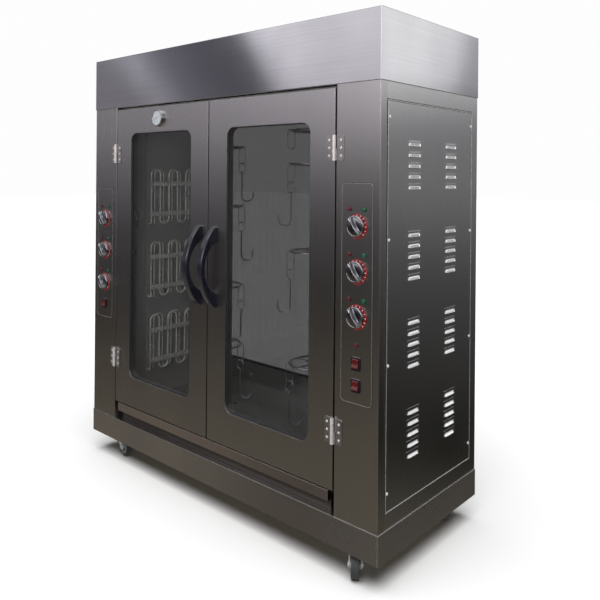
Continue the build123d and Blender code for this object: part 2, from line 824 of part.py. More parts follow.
def door_liner(side):
    """The inner face of a door with its own sleeve up to the pane."""
    glass_back = front + glass_depth + glass_thick
    sleeve = front + door_thick - glass_back
    with BuildPart() as piece:
        block((side * door_inner, side * door_outer),
              (front + door_thick - sheet, front + door_thick), (door_bottom, door_top))
        round_plate(side * window_middle, window_center,
                    (window_width + 2 * sheet, window_height + 2 * sheet), window_corner + sheet,
                    glass_back, sleeve)
        round_plate(side * window_middle, window_center, (window_width, window_height),
                    window_corner, glass_back - 1, sleeve + 2, mode=Mode.SUBTRACT)
        cut_stem(side)
    return piece


def door_glass(side):
    """The pane, larger than the window all round."""
    with BuildPart() as piece:
        round_plate(side * window_middle, window_center,
                    (window_width + 2 * glass_edge, window_height + 2 * glass_edge),
                    window_corner + glass_edge, front + glass_depth, glass_thick)
    return piece


def door_handle(side):
    """A crescent grip with blunt feet that stands on the door at both ends."""
    middle_z = floor_gap + handle_rise
    outer_half = handle_length / 2
    inner_half = handle_opening / 2
    foot = front - handle_foot
    with BuildPart() as piece:
        with BuildSketch(Plane.YZ.offset(side * handle_from_middle - handle_width / 2)):
            with BuildLine():
                Line((front, middle_z + outer_half), (foot, middle_z + outer_half))
                ThreePointArc((foot, middle_z + outer_half), (front - handle_reach, middle_z),
                              (foot, middle_z - outer_half))
                Polyline((foot, middle_z - outer_half), (front, middle_z - outer_half),
                         (front, middle_z - inner_half))
                ThreePointArc((front, middle_z - inner_half),
                              (front - handle_reach + handle_bar, middle_z),
                              (front, middle_z + inner_half))
                Line((front, middle_z + inner_half), (front, middle_z + outer_half))
            make_face()
        extrude(amount=handle_width)
        fillet(piece.edges().filter_by(Axis.X).sort_by(Axis.Y)[:2], 8)
        fillet(piece.edges().filter_by(GeomType.CIRCLE).filter_by(lambda edge: edge.length > 60), 5)
    return piece


hinge_y = front - barrel_proud
hinge_screw = 4


def hinge_half(side, rise, on_door):
    """One leaf with its screws, neck and knuckle, in the open part."""
    inwards = -1 if on_door else 1
    z = floor_gap + rise
    half = hinge_length / 2
    near = side * (hinge_axis + inwards * (barrel_radius + 0.5))
    far = side * (hinge_axis + inwards * (barrel_radius + 0.5 + hinge_leaf))
    knuckle = (z + clear / 2, z + half) if on_door else (z - half, z - clear / 2)
    block((near, far), (front - hinge_plate, front), (z - half, z + half))
    block((side * hinge_axis, near + side * inwards * 4), (front - hinge_plate - 2, front - clear),
          knuckle)
    rod((side * hinge_axis, hinge_y, knuckle[0]), (0, 0, 1), barrel_radius, knuckle[1] - knuckle[0])
    for step in (-1, 0, 1):
        rod(((near + far) / 2 + side * inwards * 3, front - hinge_plate, z + step * 23), (0, -1, 0),
            hinge_screw, 1.2)
    if on_door:
        rod((side * hinge_axis, hinge_y, z), (0, 0, 1), pin_radius + running, half + 1,
            mode=Mode.SUBTRACT)
    else:
        rod((side * hinge_axis, hinge_y, z - half), (0, 0, 1), pin_radius, hinge_length)


with BuildPart() as hinge_plates:
    for side in (-1, 1):
        for rise in hinge_rises:
            hinge_half(side, rise, on_door=False)
save(hinge_plates, "hinge_plates")

for side, word in ((-1, "left"), (1, "right")):
    save(door_frame(side), f"{word}_door_frame")
    save(door_liner(side), f"{word}_door_liner")
    save(door_glass(side), f"{word}_door_glass")
    save(door_handle(side), f"{word}_door_handle")
    with BuildPart() as hinge_leaves:
        for rise in hinge_rises:
            hinge_half(side, rise, on_door=True)
    save(hinge_leaves, f"{word}_hinge_leaves")

# Thermometer: a flanged case on the left door with its stem through to the chamber
case_proud = 13
with BuildPart() as thermometer:
    x, z = thermometer_place
    rod((x, front - case_proud, z), (0, 1, 0), thermometer_across / 2, case_proud)
    fillet(thermometer.edges().filter_by(GeomType.CIRCLE).sort_by(Axis.Y)[0], 3)
    rod((x, front - case_proud, z), (0, 1, 0), thermometer_across / 2 - 4, 2, mode=Mode.SUBTRACT)
    rod((x, front, z), (0, 1, 0), stem_hole - 0.4, 60)
save(thermometer, "thermometer")

# Drip tray: an open box under the chamber floor
tray_bottom = skirt_top + clear
tray_y = (front + tray_depths[0], front + tray_depths[1])
lip_z = (floor_gap + lip_rises[0], floor_gap + lip_rises[1])
with BuildPart() as drip_tray:
    block((-tray_half, tray_half), tray_y, (tray_bottom, floor_top - 6))
    block((tray_wall - tray_half, tray_half - tray_wall),
          (tray_y[0] + tray_wall, tray_y[1] - tray_wall), (tray_bottom + tray_wall, floor_top),
          mode=Mode.SUBTRACT)
    block((-tray_half, tray_half), (tray_y[0], tray_y[0] + tray_wall), (tray_bottom, lip_z[1]))
save(drip_tray, "drip_tray")

# Tray lip: a channel along the tray's front, open below and at the back, to pull it by
lip_front = front + lip_depth
lip_half = tray_half + 3
with BuildPart() as tray_lip:
    block((-lip_half, lip_half), (lip_front, lip_front + tray_wall), lip_z)
    block((-lip_half, lip_half), (lip_front, tray_y[0]), (lip_z[1] - tray_wall, lip_z[1]))
    for side in (-1, 1):
        block((side * lip_half, side * (lip_half - tray_wall)), (lip_front, tray_y[0]), lip_z)
save(tray_lip, "tray_lip")

# Caster places on the floor, and a plane along each fork's trail
caster_x = half_width - caster_inset
caster_places = {
    "front_left": (-caster_x, front + caster_depth_inset),
    "front_right": (caster_x, front + caster_depth_inset),
    "rear_left": (-caster_x, back - caster_depth_inset),
    "rear_right": (caster_x, back - caster_depth_inset),
}
seat_face = floor_gap + seat_rises[0]
raceway_radius = 24
raceway_thick = 6
kingpin_radius = 5
plate_drop = 3
raceway_bottom = seat_face - plate_drop - raceway_thick
crown_bottom = wheel_radius * 2 + 9
axle_radius = 4
leg_inner = hub_width / 2 + 1
leg_thick = 3

# Caster top plates with raceway and kingpin
with BuildPart() as caster_plates:
    for x, y in caster_places.values():
        block((x - 45, x + 45), (y - 35, y + 35), (seat_face - plate_drop, seat_face))
        rod((x, y, raceway_bottom), (0, 0, 1), raceway_radius, raceway_thick)
        rod((x, y, crown_bottom + 1), (0, 0, 1), kingpin_radius, 12)
save(caster_plates, "caster_plates")

# Caster fork, drawn about its swivel axis with the wheel trailing along +X
with BuildPart() as fork_shape:
    with Locations((0, 0, crown_bottom)):
        Cylinder(raceway_radius + 1, raceway_bottom - clear - crown_bottom,
                 align=(Align.CENTER, Align.CENTER, Align.MIN))
    for start in (leg_inner, -leg_inner - leg_thick):
        with BuildSketch(Plane.XZ.offset(start)):
            with Locations((caster_trail, wheel_radius)):
                Circle(11)
            with Locations((0, crown_bottom + 2)):
                Rectangle(38, 8)
            make_hull()
        extrude(amount=leg_thick)
    axle_half = leg_inner + leg_thick
    rod((caster_trail, -axle_half, wheel_radius), (0, 1, 0), axle_radius, 2 * axle_half)
    rod((caster_trail, -axle_half - 3, wheel_radius), (0, 1, 0), 7, 3)
    rod((caster_trail, axle_half, wheel_radius), (0, 1, 0), 7, 3)
    rod((0, 0, crown_bottom - 1), (0, 0, 1), kingpin_radius + running, 20, mode=Mode.SUBTRACT)

# Caster wheel on the same axes
with BuildPart() as wheel_shape:
    rod((caster_trail, -wheel_width / 2, wheel_radius), (0, 1, 0), wheel_radius, wheel_width)
    chamfer(wheel_shape.edges().filter_by(GeomType.CIRCLE), 3)
    rod((caster_trail, -hub_width / 2, wheel_radius), (0, 1, 0), 13, hub_width)
    rod((caster_trail, -hub_width / 2, wheel_radius), (0, 1, 0), axle_radius + running, hub_width,
        mode=Mode.SUBTRACT)

for corner, (x, y) in caster_places.items():
    turn = radians(fork_turns[corner])
    trail_plane = Plane(origin=(x, y, 0), x_dir=(cos(turn), sin(turn), 0), z_dir=(0, 0, 1))
    with BuildPart() as fork:
        with Locations(trail_plane):
            add(fork_shape.part)
    save(fork, f"{corner}_fork")
    with BuildPart() as wheel:
        with Locations(trail_plane):
            add(wheel_shape.part)
    save(wheel, f"{corner}_wheel")
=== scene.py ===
"""Looks of a double-door electric rotisserie cabinet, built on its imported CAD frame."""

import logging
import math
from contextlib import contextmanager
from dataclasses import dataclass, field
from enum import Enum
from typing import Callable, Iterable, Iterator

import bmesh
import bpy
from mathutils import Matrix, Vector

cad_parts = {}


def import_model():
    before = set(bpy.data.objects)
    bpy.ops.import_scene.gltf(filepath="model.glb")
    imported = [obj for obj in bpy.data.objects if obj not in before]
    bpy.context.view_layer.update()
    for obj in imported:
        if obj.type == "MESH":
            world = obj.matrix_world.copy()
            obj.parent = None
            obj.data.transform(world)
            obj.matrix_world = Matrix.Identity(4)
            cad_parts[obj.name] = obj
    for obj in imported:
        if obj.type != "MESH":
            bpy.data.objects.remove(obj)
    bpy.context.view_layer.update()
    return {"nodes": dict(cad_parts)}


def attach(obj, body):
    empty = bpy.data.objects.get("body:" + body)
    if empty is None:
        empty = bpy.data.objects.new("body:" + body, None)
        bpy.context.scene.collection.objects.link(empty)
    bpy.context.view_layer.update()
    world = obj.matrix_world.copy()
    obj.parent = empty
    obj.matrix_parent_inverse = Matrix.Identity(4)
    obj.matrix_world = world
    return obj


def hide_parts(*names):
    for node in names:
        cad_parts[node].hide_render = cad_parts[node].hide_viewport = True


logger = logging.getLogger("rotisserie")

Piece = bpy.types.Object
Tree = bpy.types.NodeTree
Node = bpy.types.Node
Socket = bpy.types.NodeSocket
Point = tuple[float, float, float]
Color = tuple[float, float, float]
Stops = tuple[tuple[float, float | Color], ...]
Steps = tuple[tuple[float, float], ...]

SIDES = (("left", -1), ("right", 1))
ORIGIN = (0.0, 0.0, 0.0)
DEPTH_AXIS = (0.0, 1.0, 0.0)
HEIGHT_AXIS = (0.0, 0.0, 1.0)
EVEN = (1.0, 1.0, 1.0)
NOISE_RANGE = (0.3, 0.7)  # where nearly all values of a noise lie
FACING = 0.9  # cosine above which a face or an edge lies along an axis
TOUCHING = 1e-5  # distance below which two places are one
SMOOTH_BELOW = 40.0  # degrees between two faces that are shaded as one


class Grain(Enum):
    """The way the brushing runs on a sheet: the stretch of its noise and the turn of its gloss."""

    UPRIGHT = ((1.0, 1.0, 0.012), 0.0)
    LEVEL = ((0.012, 0.012, 1.0), 0.25)

    @property
    def stretch(self) -> tuple[float, float, float]:
        """Factors on the axes of the brushing's noise."""
        return self.value[0]

    @property
    def turn(self) -> float:
        """Turn of the stretched gloss, in full turns."""
        return self.value[1]


class Way(Enum):
    """Axis a round piece stands on, as the turn that takes +Z to it."""

    FRONT = (math.pi / 2, 0.0, 0.0)
    UP = (0.0, 0.0, 0.0)


@dataclass(frozen=True)
class Wiring:
    """A node tree that is being wired up.

    Attributes:
        tree: The node tree.
    """

    tree: Tree

    def add(self, kind: str, inputs: dict[str | int, object]) -> Node:
        """Add a shader node.

        Args:
            kind: Its type, without the common prefix.
            inputs: For each input the socket that feeds it, or its value.

        Returns:
            The node.
        """
        node = self.tree.nodes.new(f"ShaderNode{kind}")
        self.feed(node, inputs)
        return node

    def feed(self, node: Node, inputs: dict[str | int, object]) -> None:
        """Link or set a node's inputs.

        Args:
            node: The node.
            inputs: For each input the socket that feeds it, or its value.
        """
        for key, value in inputs.items():
            if isinstance(value, Socket):
                self.tree.links.new(value, node.inputs[key])
            else:
                node.inputs[key].default_value = value

    def math(self, kind: str, *values: float | Socket) -> Socket:
        """Add an operation on values.

        Args:
            kind: The operation.
            values: Two or three values, each a number or a socket.

        Returns:
            The socket of its result.
        """
        node = self.tree.nodes.new("ShaderNodeMath")
        node.operation = kind
        self.feed(node, dict(enumerate(values)))
        return node.outputs[0]

    def mapped(self, source: Socket, given: tuple[float, float], wanted: tuple[float, float]) -> Socket:
        """Return a value mapped from one range onto another."""
        node = self.add("MapRange", {"Value": source, "From Min": given[0], "From Max": given[1],
                                     "To Min": wanted[0], "To Max": wanted[1]})
        return node.outputs["Result"]

    def mixed(self, kind: str, factor: float | Socket, first: Color | Socket,
              second: Color | Socket) -> Socket:
        """Mix two colours.

        Args:
            kind: The blend type.
            factor: How much of the second colour shows.
            first: First colour.
            second: Second colour.

        Returns:
            The colour socket.
        """
        node = self.tree.nodes.new("ShaderNodeMix")
        node.data_type, node.blend_type = "RGBA", kind
        sides = [(*side, 1.0) if isinstance(side, tuple) else side for side in (first, second)]
        self.feed(node, {0: factor, 6: sides[0], 7: sides[1]})
        return node.outputs[2]

    def ramp(self, source: Socket, stops: Stops) -> Socket:
        """Add a ramp whose stops stand at values of its source.

        Args:
            source: Value socket.
            stops: For each stop its value and its grey tone or colour.

        Returns:
            The colour socket.
        """
        low, high = stops[0][0], stops[-1][0]
        node = self.add("ValToRGB", {"Fac": self.mapped(source, (low, high), (0.0, 1.0))})
        colors = node.color_ramp.elements
        while len(colors) < len(stops):
            colors.new(0.5)
        for element, (where, tone) in zip(colors, stops):
            element.position = (where - low) / (high - low)
            element.color = (*(tone if isinstance(tone, tuple) else (tone,) * 3), 1.0)
        return node.outputs["Color"]

    def scaled(self, color: Socket, source: Socket, stops: Stops) -> Socket:
        """Return a colour times a ramp."""
        return self.mixed("MULTIPLY", 1.0, color, self.ramp(source, stops))

    def noise(self, scale: float, stretch: Point = EVEN, detail: float = 4.0) -> Socket:
        """Add noise on Object coordinates.

        Args:
            scale: Scale of the noise, per metre.
            stretch: Factor on each axis.
            detail: Octaves of the noise.

        Returns:
            The noise's value socket.
        """
        place = self.add("TexCoord", {}).outputs["Object"]
        mapping = self.add("Mapping", {"Vector": place, "Scale": stretch})
        noise = self.add("TexNoise", {"Vector": mapping.outputs["Vector"], "Scale": scale,
                                      "Detail": detail})
        return noise.outputs["Fac"]

    def spread(self, source: Socket, low: float, high: float) -> Socket:
        """Return a noise value mapped from its usual range onto low to high."""
        return self.mapped(source, NOISE_RANGE, (low, high))


# Finishes


@dataclass(frozen=True)
class Finish:
    """A surface finish, made into a node material once and then shared.

    Attributes:
        name: Name of the material.
        color: Base colour, linear.
        metallic: How metallic the surface is.
        roughness: Mean roughness.
    """

    name: str
    color: Color
    metallic: float = 0.0
    roughness: float = 0.4

    def material(self) -> bpy.types.Material:
        """Return the material, made on its first use."""
        known = bpy.data.materials.get(f"{self.name}_finish")
        if known is not None:
            return known
        made = bpy.data.materials.new(f"{self.name}_finish")
        made.use_nodes = True
        wiring = Wiring(made.node_tree)
        shader = made.node_tree.nodes["Principled BSDF"]
        wiring.feed(shader, {"Base Color": (*self.color, 1.0), "Metallic": self.metallic,
                             "Roughness": self.roughness})
        wiring.feed(shader, self.detail(wiring))
        return made

    def detail(self, wiring: Wiring) -> dict[str, object]:
        """Make what this finish shows beyond its plain values.

        Args:
            wiring: The material's nodes.

        Returns:
            Inputs for the material's shader.
        """
        return {}


@dataclass(frozen=True)
class BrushedSteel(Finish):
    """Stainless sheet with soft brushing, faint bands, clouding and bright edges.

    Attributes:
        grain: The way the brushing runs.
        clouding: How much darker the dark clouds are.
        streaking: How much darker the dark brush lines are.
        banding: Depth of the bands, as a part of the brush lines'.
        edge: Radius of the worn edges in metres.
        pull: How far the gloss is stretched across the brushing.
        lines: Scale of the brush lines, per metre.
        bands: Scale of the bands.
        clouds: Scale of the clouds.
        swing: How far the roughness leaves its mean.
    """

    metallic: float = 1.0
    roughness: float = 0.28
    grain: Grain = Grain.UPRIGHT
    clouding: float = 0.10
    streaking: float = 0.02
    banding: float = 0.6
    edge: float = 0.0022
    pull: float = 0.8
    lines: float = 170.0
    bands: float = 26.0
    clouds: float = 3.2
    swing: float = 0.03

    def detail(self, wiring: Wiring) -> dict[str, object]:
        """Return the brushing, bands, clouding, uneven gloss and worn edges."""
        streaks = wiring.noise(self.lines, self.grain.stretch, 3.0)
        bands = wiring.noise(self.bands, self.grain.stretch, 2.0)
        clouds = wiring.noise(self.clouds, (1.0, 1.0, 0.8), 3.0)
        cloudy = wiring.spread(clouds, 1.0 - self.clouding, 1.0)
        banded = wiring.spread(bands, -self.streaking * self.banding, 0.0)
        streaked = wiring.spread(streaks, -self.streaking, 0.0)
        level = wiring.math("ADD", cloudy, wiring.math("ADD", banded, streaked))
        round_about = wiring.add("Tangent", {})
        round_about.direction_type, round_about.axis = "RADIAL", "Z"
        worn = wiring.add("Bevel", {"Radius": self.edge})
        worn.samples = 4
        return {"Base Color": wiring.mixed("MIX", level, ORIGIN, self.color),
                "Roughness": wiring.spread(clouds, self.roughness + self.swing,
                                           self.roughness - self.swing),
                "Anisotropic": self.pull, "Anisotropic Rotation": self.grain.turn,
                "Tangent": round_about.outputs["Tangent"], "Normal": worn.outputs["Normal"]}


@dataclass(frozen=True)
class WornMetal(Finish):
    """Bright or plated metal with faint handling marks.

    Attributes:
        wear: How far the roughness leaves its mean.
        scale: Scale of the marks, per metre.
        dulling: Tone of the dark marks, as a part of the colour.
    """

    metallic: float = 1.0
    wear: float = 0.06
    scale: float = 90.0
    dulling: float = 0.85

    def detail(self, wiring: Wiring) -> dict[str, object]:
        """Return uneven gloss and a slight tone change."""
        marks = wiring.noise(self.scale, detail=5.0)
        dark = tuple(part * self.dulling for part in self.color)
        bump = wiring.add("Bump", {"Strength": 0.05, "Distance": 0.0002, "Height": marks})
        return {"Base Color": wiring.mixed("MIX", wiring.spread(marks, 0.0, 1.0), dark, self.color),
                "Roughness": wiring.spread(marks, max(self.roughness - self.wear, 0.02),
                                           self.roughness + self.wear),
                "Normal": bump.outputs["Normal"]}


@dataclass(frozen=True)
class Moulded(Finish):
    """Moulded plastic, rubber or ceramic with a fine surface grain.

    Attributes:
        grain_scale: Scale of the grain, per metre.
        grain_depth: Strength of the grain's bump.
        coat: Weight of the clear coat.
    """

    grain_scale: float = 700.0
    grain_depth: float = 0.15
    coat: float = 0.0

    def detail(self, wiring: Wiring) -> dict[str, object]:
        """Return the grain and the clear coat."""
        grain = wiring.noise(self.grain_scale, detail=2.0)
        light = tuple(min(part * 1.25 + 0.003, 1.0) for part in self.color)
        bump = wiring.add("Bump", {"Strength": self.grain_depth, "Distance": 0.0001, "Height": grain})
        return {"Base Color": wiring.mixed("MIX", wiring.spread(grain, 0.0, 1.0), self.color, light),
                "Roughness": wiring.spread(grain, self.roughness * 0.85, self.roughness * 1.15),
                "Coat Weight": self.coat, "Coat Roughness": 0.08, "Normal": bump.outputs["Normal"]}


@dataclass(frozen=True)
class LitLens(Moulded):
    """A coloured lens with a little light of its own.

    Attributes:
        glow: Strength of the light.
    """

    glow: float = 0.4

    def detail(self, wiring: Wiring) -> dict[str, object]:
        """Return the moulded lens with its glow."""
        return super().detail(wiring) | {"Emission Color": (*self.color, 1.0),
                                         "Emission Strength": self.glow}


@dataclass(frozen=True)
class Pane(Finish):
    """Smoked oven glass, seen through but darkened, with faint wiping marks.

    Attributes:
        opacity: How much the glass covers.
        smear: How much rougher the wiping marks are.
    """

    roughness: float = 0.03
    opacity: float = 0.35
    smear: float = 0.05

    def detail(self, wiring: Wiring) -> dict[str, object]:
        """Return the wiping marks and the opacity."""
        wipes = wiring.noise(14.0, (1.0, 1.0, 0.25))
        return {"Roughness": wiring.spread(wipes, self.roughness, self.roughness + self.smear),
                "Alpha": self.opacity, "IOR": 1.5}


HOOD_STEEL = BrushedSteel("hood_steel", (0.64, 0.64, 0.66), roughness=0.11, grain=Grain.LEVEL,
                          clouding=0.12, streaking=0.05, pull=0.88)
DOOR_STEEL = BrushedSteel("door_steel", (0.54, 0.53, 0.53), grain=Grain.UPRIGHT, clouding=0.14)
POST_STEEL = BrushedSteel("post_steel", (0.53, 0.52, 0.51), grain=Grain.UPRIGHT, clouding=0.14)
SIDE_STEEL = BrushedSteel("side_steel", (0.58, 0.58, 0.58), grain=Grain.UPRIGHT, edge=0.0030)
SKIRT_STEEL = BrushedSteel("skirt_steel", (0.61, 0.59, 0.57), grain=Grain.LEVEL, clouding=0.16,
                           streaking=0.05)
# Painted highlight and painted shade on the louvre hoods: the near-white finish goes on each hood's
# lower lip, the dark one on its upper part.
LOUVRE_HIGHLIGHT = BrushedSteel("louvre_highlight", (0.95, 0.95, 0.95), roughness=0.20, clouding=0.06)
LOUVRE_SHADE = BrushedSteel("louvre_shade", (0.26, 0.26, 0.26), roughness=0.30, clouding=0.06)
TRAY_STEEL = BrushedSteel("tray_steel", (0.60, 0.54, 0.51), grain=Grain.LEVEL)
# Painted shade: the drip tray's pan is coloured dark for the shade in the recess under the tray's lip.
PAN_SHADE = BrushedSteel("pan_shade", (0.16, 0.145, 0.135), roughness=0.32, grain=Grain.LEVEL)
CHAMBER_STEEL = BrushedSteel("chamber_steel", (0.54, 0.53, 0.52), metallic=0.50, roughness=0.30)
LINER_STEEL = BrushedSteel("liner_steel", (0.46, 0.45, 0.44), metallic=0.95, roughness=0.30)
FLOOR_STEEL = BrushedSteel("floor_steel", (0.34, 0.33, 0.31), metallic=0.7, roughness=0.24)
HEATER_STEEL = WornMetal("heater_steel", (0.95, 0.94, 0.91), metallic=0.5, roughness=0.22, wear=0.08)
WIRE_STEEL = WornMetal("wire_steel", (0.56, 0.56, 0.57), metallic=0.9, roughness=0.18)
HINGE_STEEL = WornMetal("hinge_steel", (0.52, 0.50, 0.50), metallic=0.95, roughness=0.30, wear=0.03,
                        scale=30.0)
BARREL_STEEL = WornMetal("barrel_steel", (0.85, 0.80, 0.78), metallic=0.6, roughness=0.32)
SCREW_STEEL = WornMetal("screw_steel", (0.88, 0.87, 0.86), metallic=0.4, roughness=0.25)
KNOB_CHROME = WornMetal("knob_chrome", (0.40, 0.40, 0.43), roughness=0.07, wear=0.02)
ZINC = WornMetal("zinc", (0.60, 0.62, 0.63), metallic=0.5, roughness=0.38, wear=0.12)
MOTOR_CAST = WornMetal("motor_cast", (0.30, 0.31, 0.33), roughness=0.5, wear=0.1)
BLACK_GLOSS = Moulded("black_gloss", (0.006, 0.006, 0.012), roughness=0.12, grain_depth=0.04, coat=1.0)
RIM_STEEL = WornMetal("rim_steel", (0.60, 0.59, 0.58), metallic=0.7, roughness=0.25)
FOLD_STEEL = WornMetal("fold_steel", (0.50, 0.48, 0.47), metallic=0.85, roughness=0.30)
JOINT_SHADOW = Moulded("joint_shadow", (0.012, 0.012, 0.013), roughness=0.6)
# Black satin of the cable gland and lamp flanges; on the hinge screws the same black is painted shade in
# the cross recesses.
BLACK_SATIN_AND_SHADE = Moulded("black_satin_and_shade", (0.016, 0.016, 0.017), roughness=0.42)
GASKET_RUBBER = Moulded("gasket_rubber", (0.020, 0.019, 0.024), roughness=0.55)
TYRE_RUBBER = Moulded("tyre_rubber", (0.030, 0.031, 0.032), roughness=0.5, grain_depth=0.3)
HUB_GREY = Moulded("hub_grey", (0.30, 0.31, 0.31), roughness=0.35)
CERAMIC = Moulded("ceramic", (0.70, 0.67, 0.60), roughness=0.5)
DIAL_RED = Moulded("dial_red", (0.22, 0.010, 0.013), roughness=0.32, coat=0.2)
DIAL_WHITE = Moulded("dial_white", (0.80, 0.79, 0.77), roughness=0.35)
GAUGE_FACE = Moulded("gauge_face", (0.33, 0.35, 0.38), roughness=0.3, coat=0.3)
GAUGE_STEEL = WornMetal("gauge_steel", (0.62, 0.63, 0.65), roughness=0.22, wear=0.04)
GAUGE_MARKS = Moulded("gauge_marks", (0.05, 0.05, 0.06), roughness=0.4)
LAMP_RED = LitLens("lamp_red", (0.065, 0.007, 0.012), roughness=0.14, coat=0.5, glow=0.06)
LAMP_GREEN = LitLens("lamp_green", (0.004, 0.065, 0.034), roughness=0.14, coat=0.5, glow=0.06)
ROCKER_RED = Moulded("rocker_red", (0.060, 0.004, 0.004), roughness=0.20, coat=0.3)
DOOR_PANE = Pane("door_pane", (0.012, 0.013, 0.014), opacity=0.20)
BACK_PANE = Pane("back_pane", (0.030, 0.035, 0.033), opacity=0.66)
GAUGE_GLASS = Pane("gauge_glass", (0.6, 0.62, 0.65), opacity=0.08)


# Modelling helpers


def solo(piece: Piece) -> None:
    """Deselect everything and make one piece active.

    Args:
        piece: The piece to select.
    """
    bpy.ops.object.select_all(action="DESELECT")
    piece.select_set(True)
    bpy.context.view_layer.objects.active = piece


@contextmanager
def editing(piece: Piece) -> Iterator[None]:
    """Work on a piece in edit mode, and leave it at the end.

    Args:
        piece: The piece to work on.

    Yields:
        Nothing.
    """
    solo(piece)
    bpy.ops.object.mode_set(mode="EDIT")
    yield
    bpy.ops.object.mode_set(mode="OBJECT")


def settle(piece: Piece) -> Piece:
    """Put a piece's place, turn and scale into its mesh.

    Args:
        piece: The piece to settle.

    Returns:
        The same piece.
    """
    solo(piece)
    bpy.ops.object.transform_apply(location=True, rotation=True, scale=True)
    return piece


def dress(piece: Piece, *finishes: Finish, worn: int = 0) -> Piece:
    """Give a piece its materials, one of them on every face.

    Args:
        piece: The piece to dress.
        finishes: Its finishes, in slot order.
        worn: Index of the finish its faces wear.

    Returns:
        The same piece.
    """
    piece.data.materials.clear()
    for finish in finishes:
        piece.data.materials.append(finish.material())
    if worn:
        for polygon in piece.data.polygons:
            polygon.material_index = worn
    return piece


def pick(piece: Piece, kind: str, test: Callable[[Vector, Vector], bool]) -> None:
    """Select the faces or edges of the piece in edit mode that pass a test.

    Args:
        piece: The piece, in edit mode.
        kind: FACE or EDGE.
        test: Takes an element's middle and its normal or direction.
    """
    bpy.ops.mesh.select_mode(type=kind)
    bpy.ops.mesh.select_all(action="DESELECT")
    mesh = bmesh.from_edit_mesh(piece.data)
    if kind == "FACE":
        for face in mesh.faces:
            if test(face.calc_center_median(), face.normal):
                face.select_set(True)
    else:
        for edge in mesh.edges:
            ends = [vertex.co for vertex in edge.verts]
            if test((ends[0] + ends[1]) / 2, (ends[1] - ends[0]).normalized()):
                edge.select_set(True)
    mesh.select_flush_mode()
    bmesh.update_edit_mesh(piece.data)


def drum(name: str, middle: Point, radius: float, depth: float, way: Way = Way.FRONT,
         around: int = 48) -> Piece:
    """Add a round blank, centred at a point, and settle it.

    Args:
        name: Name of the piece.
        middle: Its middle.
        radius: Its radius.
        depth: Its length along its axis.
        way: The axis it stands on.
        around: Sides round the circle.

    Returns:
        The blank.
    """
    bpy.ops.object.select_all(action="DESELECT")
    bpy.ops.mesh.primitive_cylinder_add(vertices=around, radius=radius, depth=depth,
                                        location=middle, rotation=way.value)
    piece = bpy.context.object
    piece.name = name
    return settle(piece)


def brick(name: str, first: Point, second: Point) -> Piece:
    """Add a block blank between two opposite corners and settle it.

    Args:
        name: Name of the piece.
        first: One corner.
        second: The corner opposite.

    Returns:
        The blank.
    """
    bpy.ops.object.select_all(action="DESELECT")
    middle = tuple((a + b) / 2 for a, b in zip(first, second))
    bpy.ops.mesh.primitive_cube_add(size=1.0, location=middle)
    piece = bpy.context.object
    piece.name = name
    piece.scale = tuple(abs(b - a) for a, b in zip(first, second))
    return settle(piece)


def rounded(piece: Piece, width: float, segments: int = 3, limit: float = 30.0) -> Piece:
    """Bevel a piece's sharp edges and smooth it by angle.

    Args:
        piece: The piece.
        width: Width of the bevel in metres.
        segments: Steps across the bevel.
        limit: Angle in degrees above which an edge is sharp.

    Returns:
        The same piece.
    """
    solo(piece)
    bevel = piece.modifiers.new("edges", "BEVEL")
    bevel.width = width
    bevel.segments = segments
    bevel.limit_method = "ANGLE"
    bevel.angle_limit = math.radians(limit)
    bpy.ops.object.modifier_apply(modifier=bevel.name)
    bpy.ops.object.shade_smooth_by_angle(angle=math.radians(SMOOTH_BELOW))
    flats = piece.modifiers.new("flats", "WEIGHTED_NORMAL")
    flats.keep_sharp = True
    flats.weight = 100
    bpy.ops.object.modifier_apply(modifier=flats.name)
    return piece


def join(name: str, pieces: Iterable[Piece]) -> Piece:
    """Join pieces into one object.

    Args:
        name: Name of the joined piece.
        pieces: What to join, the first one kept active.

    Returns:
        The joined piece.
    """
    group = list(pieces)
    bpy.ops.object.select_all(action="DESELECT")
    for piece in group:
        piece.select_set(True)
    bpy.context.view_layer.objects.active = group[0]
    if len(group) > 1:
        bpy.ops.object.join()
    group[0].name = name
    return group[0]


def copied(piece: Piece, name: str, shift: Point) -> Piece:
    """Copy a piece with its own mesh and move the copy.

    Args:
        piece: The piece to copy.
        name: Name of the copy.
        shift: How far the copy moves.

    Returns:
        The copy, settled.
    """
    solo(piece)
    bpy.ops.object.duplicate(linked=False)
    twin = bpy.context.object
    twin.name = name
    twin.location = shift
    return settle(twin)


def turned_about(piece: Piece, middle: Point, axis: Point, degrees: float) -> Piece:
    """Turn a piece's mesh about an axis through a point.

    Args:
        piece: The piece.
        middle: A point on the axis.
        axis: The axis.
        degrees: Angle by the right-hand rule.

    Returns:
        The same piece.
    """
    place = Matrix.Translation(Vector(middle))
    spin = Matrix.Rotation(math.radians(degrees), 4, Vector(axis))
    piece.matrix_world = place @ spin @ place.inverted() @ piece.matrix_world
    return settle(piece)


def dish(piece: Piece, level: float, steps: Steps) -> None:
    """Inset a round piece's end face again and again, each time lifting or sinking it.

    Args:
        piece: The piece, whose end face lies at a depth along Y.
        level: That depth.
        steps: For each inset its width and its lift out of the face.
    """
    outward = -1.0 if level < sum(corner[1] for corner in piece.bound_box) / 8 else 1.0
    with editing(piece):
        pick(piece, "FACE", lambda at, normal: normal.y * outward > FACING
             and abs(at.y - level) < TOUCHING)
        for width, lift in steps:
            bpy.ops.mesh.inset(thickness=width, depth=lift)


